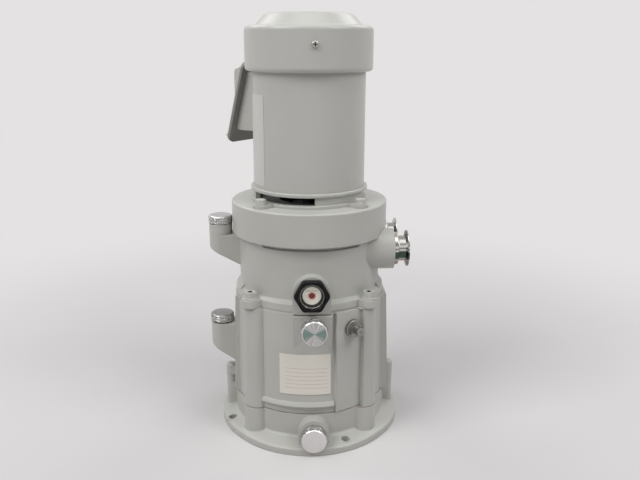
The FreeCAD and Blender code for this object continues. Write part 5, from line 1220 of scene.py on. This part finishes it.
@dataclass
class MotorLabel:
    """The bare label wrapped on the left flank of the motor."""

    middle: float = 286.0
    sweep: float = 45.0
    bottom: float = 283.0 * MM
    top: float = 379.0 * MM
    lift: float = 0.12 * MM
    thickness: float = 0.2 * MM
    sides: int = 180

    def beside(self, face: Face) -> bool:
        """Tells whether a face of the tube lies outside the label's width.

        Args:
            face: A face of the tube.

        Returns:
            True for a face that isn't part of the label.
        """
        spot = face.calc_center_median()
        azimuth = math.degrees(math.atan2(spot.x, -spot.y)) % 360
        return abs(azimuth - self.middle) > self.sweep / 2

    def build(self) -> list[Piece]:
        """Makes the label as a strip cut from a tube round the shell.

        Returns:
            The label alone.
        """
        low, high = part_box("motor_shell")
        label = add_cylinder(self.sides, (high.x - low.x) / 2 + self.lift,
                             self.top - self.bottom, end_fill_type="NOTHING",
                             location=NOWHERE)
        bpy.ops.object.mode_set(mode="EDIT")
        pick_faces(label, self.beside)
        bpy.ops.mesh.delete(type="FACE")
        bpy.ops.object.mode_set(mode="OBJECT")
        apply_modifier(label, "SOLIDIFY", thickness=self.thickness, offset=1.0)
        settle(label, "motor_label", TURN_TO[Facing.UP],
               Vector((0.0, 0.0, (self.top + self.bottom) / 2)))
        dress(label, material_of(LABEL))
        smooth(label)
        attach(label, "pump")
        return [label]


@dataclass(frozen=True)
class Lamp:
    """One soft square lamp."""

    name: str
    place: Triple
    side: float
    watts: float
    target: Triple = (0.0, 0.0, 0.22)

    def build(self) -> None:
        """Hangs the lamp and turns it to its target."""
        data = bpy.data.lights.new(self.name, "AREA")
        data.shape = "SQUARE"
        data.size = self.side
        data.energy = self.watts
        lamp = bpy.data.objects.new(self.name, data)
        bpy.context.scene.collection.objects.link(lamp)
        place = Vector(self.place)
        turn = (Vector(self.target) - place).to_track_quat("-Z", "Y").to_matrix().to_4x4()
        lamp.matrix_world = Matrix.Translation(place) @ turn


LAMPS = (
    Lamp("left", (-1.5, -1.0, 1.9), 1.2, 31.0),
    Lamp("right", (1.5, -1.0, 1.9), 1.2, 23.0),
    Lamp("over", (0.0, -0.45, 2.2), 1.4, 14.0),
    Lamp("back left", (-1.5, 1.4, 2.1), 1.2, 14.0),
    Lamp("back right", (1.5, 1.4, 2.1), 1.2, 14.0),
)


@dataclass(frozen=True)
class Studio:
    """The camera, the lamps and the pale floor."""

    focal: float = 39.528
    sensor: float = 36.0
    pitch: float = 15.328
    roll: float = 0.097
    yaw: float = -2.5
    camera_at: Triple = (-21.775, -779.792, 426.6)
    nearest: float = 10.0 * MM
    surround: Colour = linear(228, 226, 226)
    fill: float = 0.04
    floor_side: float = 8.0
    floor_clouds: float = 3.0
    floor_detail: float = 3.0
    floor_stops: tuple[float, float] = (0.3, 0.7)
    floor_dark: Colour = linear(206, 203, 204)
    floor_light: Colour = linear(211, 208, 209)
    floor_roughness: float = 0.7
    fade_from: float = 0.22
    fade_to: float = 0.95

    def camera(self) -> None:
        """Places the camera where the photograph was taken from."""
        data = bpy.data.cameras.new("camera")
        data.lens = self.focal
        data.sensor_width = self.sensor
        data.sensor_fit = "HORIZONTAL"
        data.clip_start = self.nearest
        camera = bpy.data.objects.new("camera", data)
        bpy.context.scene.collection.objects.link(camera)
        tilt = Matrix.Rotation(math.radians(90.0 - self.pitch), 4, "X")
        roll = Matrix.Rotation(math.radians(self.roll), 4, "Z")
        yaw = Matrix.Rotation(math.radians(self.yaw), 4, "Z")
        camera.matrix_world = (Matrix.Translation(Vector(self.camera_at) * MM)
                               @ yaw @ tilt @ roll)
        bpy.context.scene.camera = camera

    def floor(self) -> None:
        """Lays the plain pale floor."""
        clear_selection()
        bpy.ops.mesh.primitive_plane_add(size=self.floor_side, location=NOWHERE)
        floor = bpy.context.object
        floor.name = "floor"
        nodes = Nodes("floor_paper")
        nodes.shader.inputs["Roughness"].default_value = self.floor_roughness
        dark, light = self.floor_stops
        paper = nodes.steps(nodes.noise(self.floor_clouds, self.floor_detail),
                            [(dark, self.floor_dark), (light, self.floor_light)])
        nodes.link(paper, nodes.shader.inputs["Base Color"])
        self.fade(nodes)
        dress(floor, nodes.material)

    def fade(self, nodes: Nodes) -> None:
        """Lets the floor fade into the pale surround away from the object, where it is seen.

        Args:
            nodes: The floor's material.
        """
        radius = nodes.length(*nodes.split(nodes.place)[:2])
        away = nodes.add("ShaderNodeMapRange", interpolation_type="SMOOTHSTEP")
        away.inputs["From Min"].default_value = self.fade_from
        away.inputs["From Max"].default_value = self.fade_to
        nodes.link(radius, away.inputs["Value"])
        pale = nodes.add("ShaderNodeEmission")
        pale.inputs["Color"].default_value = (*self.surround, 1.0)
        share = nodes.math("MULTIPLY", away.outputs["Result"], nodes.seen())
        faded = nodes.mix(share, nodes.shader.outputs["BSDF"], pale.outputs["Emission"])
        nodes.link(faded, nodes.tree.nodes["Material Output"].inputs["Surface"])

    def world(self) -> None:
        """Sets an even pale surround, brighter to the camera and in reflections."""
        world = bpy.data.worlds.new("studio")
        world.use_nodes = True
        bpy.context.scene.world = world
        graph = Graph(world.node_tree)
        light = graph.tree.nodes["Background"]
        light.inputs["Color"].default_value = (1.0, 1.0, 1.0, 1.0)
        light.inputs["Strength"].default_value = self.fill
        pale = graph.add("ShaderNodeBackground")
        pale.inputs["Color"].default_value = (*self.surround, 1.0)
        pale.inputs["Strength"].default_value = 1.0
        both = graph.mix(graph.seen(), light.outputs["Background"], pale.outputs["Background"])
        graph.link(both, graph.tree.nodes["World Output"].inputs["Surface"])

    def build(self) -> None:
        """Sets up the whole studio."""
        bpy.context.scene.view_settings.view_transform = "Standard"
        self.camera()
        for lamp in LAMPS:
            lamp.build()
        self.floor()
        self.world()


class CadFinishes:
    """Gives each CAD node the finish of its slot, or its own."""

    def build(self) -> None:
        """Dresses every CAD node that has a finish here."""
        for entry in frame["record"]["subparts"]:
            node = entry["node"]
            finish = NODE_FINISH.get(node, WEAR.get(entry["material_slot"]))
            if finish is not None:
                dress(frame["nodes"][node], material_of(finish))


PIECES = (
    # Each cap's brightness is painted light, and its wedges and streaks are painted
    # reflections, set cap by cap.
    ScrewCap("upper_filler_cap", Facing.UP, 8.8 * MM, lit_tone=202),
    ScrewCap("lower_filler_cap", Facing.UP, 8.8 * MM, lit_tone=150),
    ScrewCap("front_port_cap", Facing.FRONT, 10.8 * MM, reflection_wedge=0.85, streaks=0.6),
    ScrewCap("drain_cap", Facing.FRONT, 10.8 * MM, lit_tone=224, streaks=0.08),
    CoverScrews(),
    SightGlass(),
    MotorLabel(),
)


def main() -> None:
    """Builds every class in order and reports each piece."""
    logging.basicConfig(level=logging.INFO, format="%(message)s")
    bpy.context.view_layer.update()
    Studio().build()
    CadFinishes().build()
    log.info("finishes on the CAD pieces")
    for maker in PIECES:
        for piece in maker.build():
            log.info("made %s", piece.name)


if __name__ == "__main__":
    main()
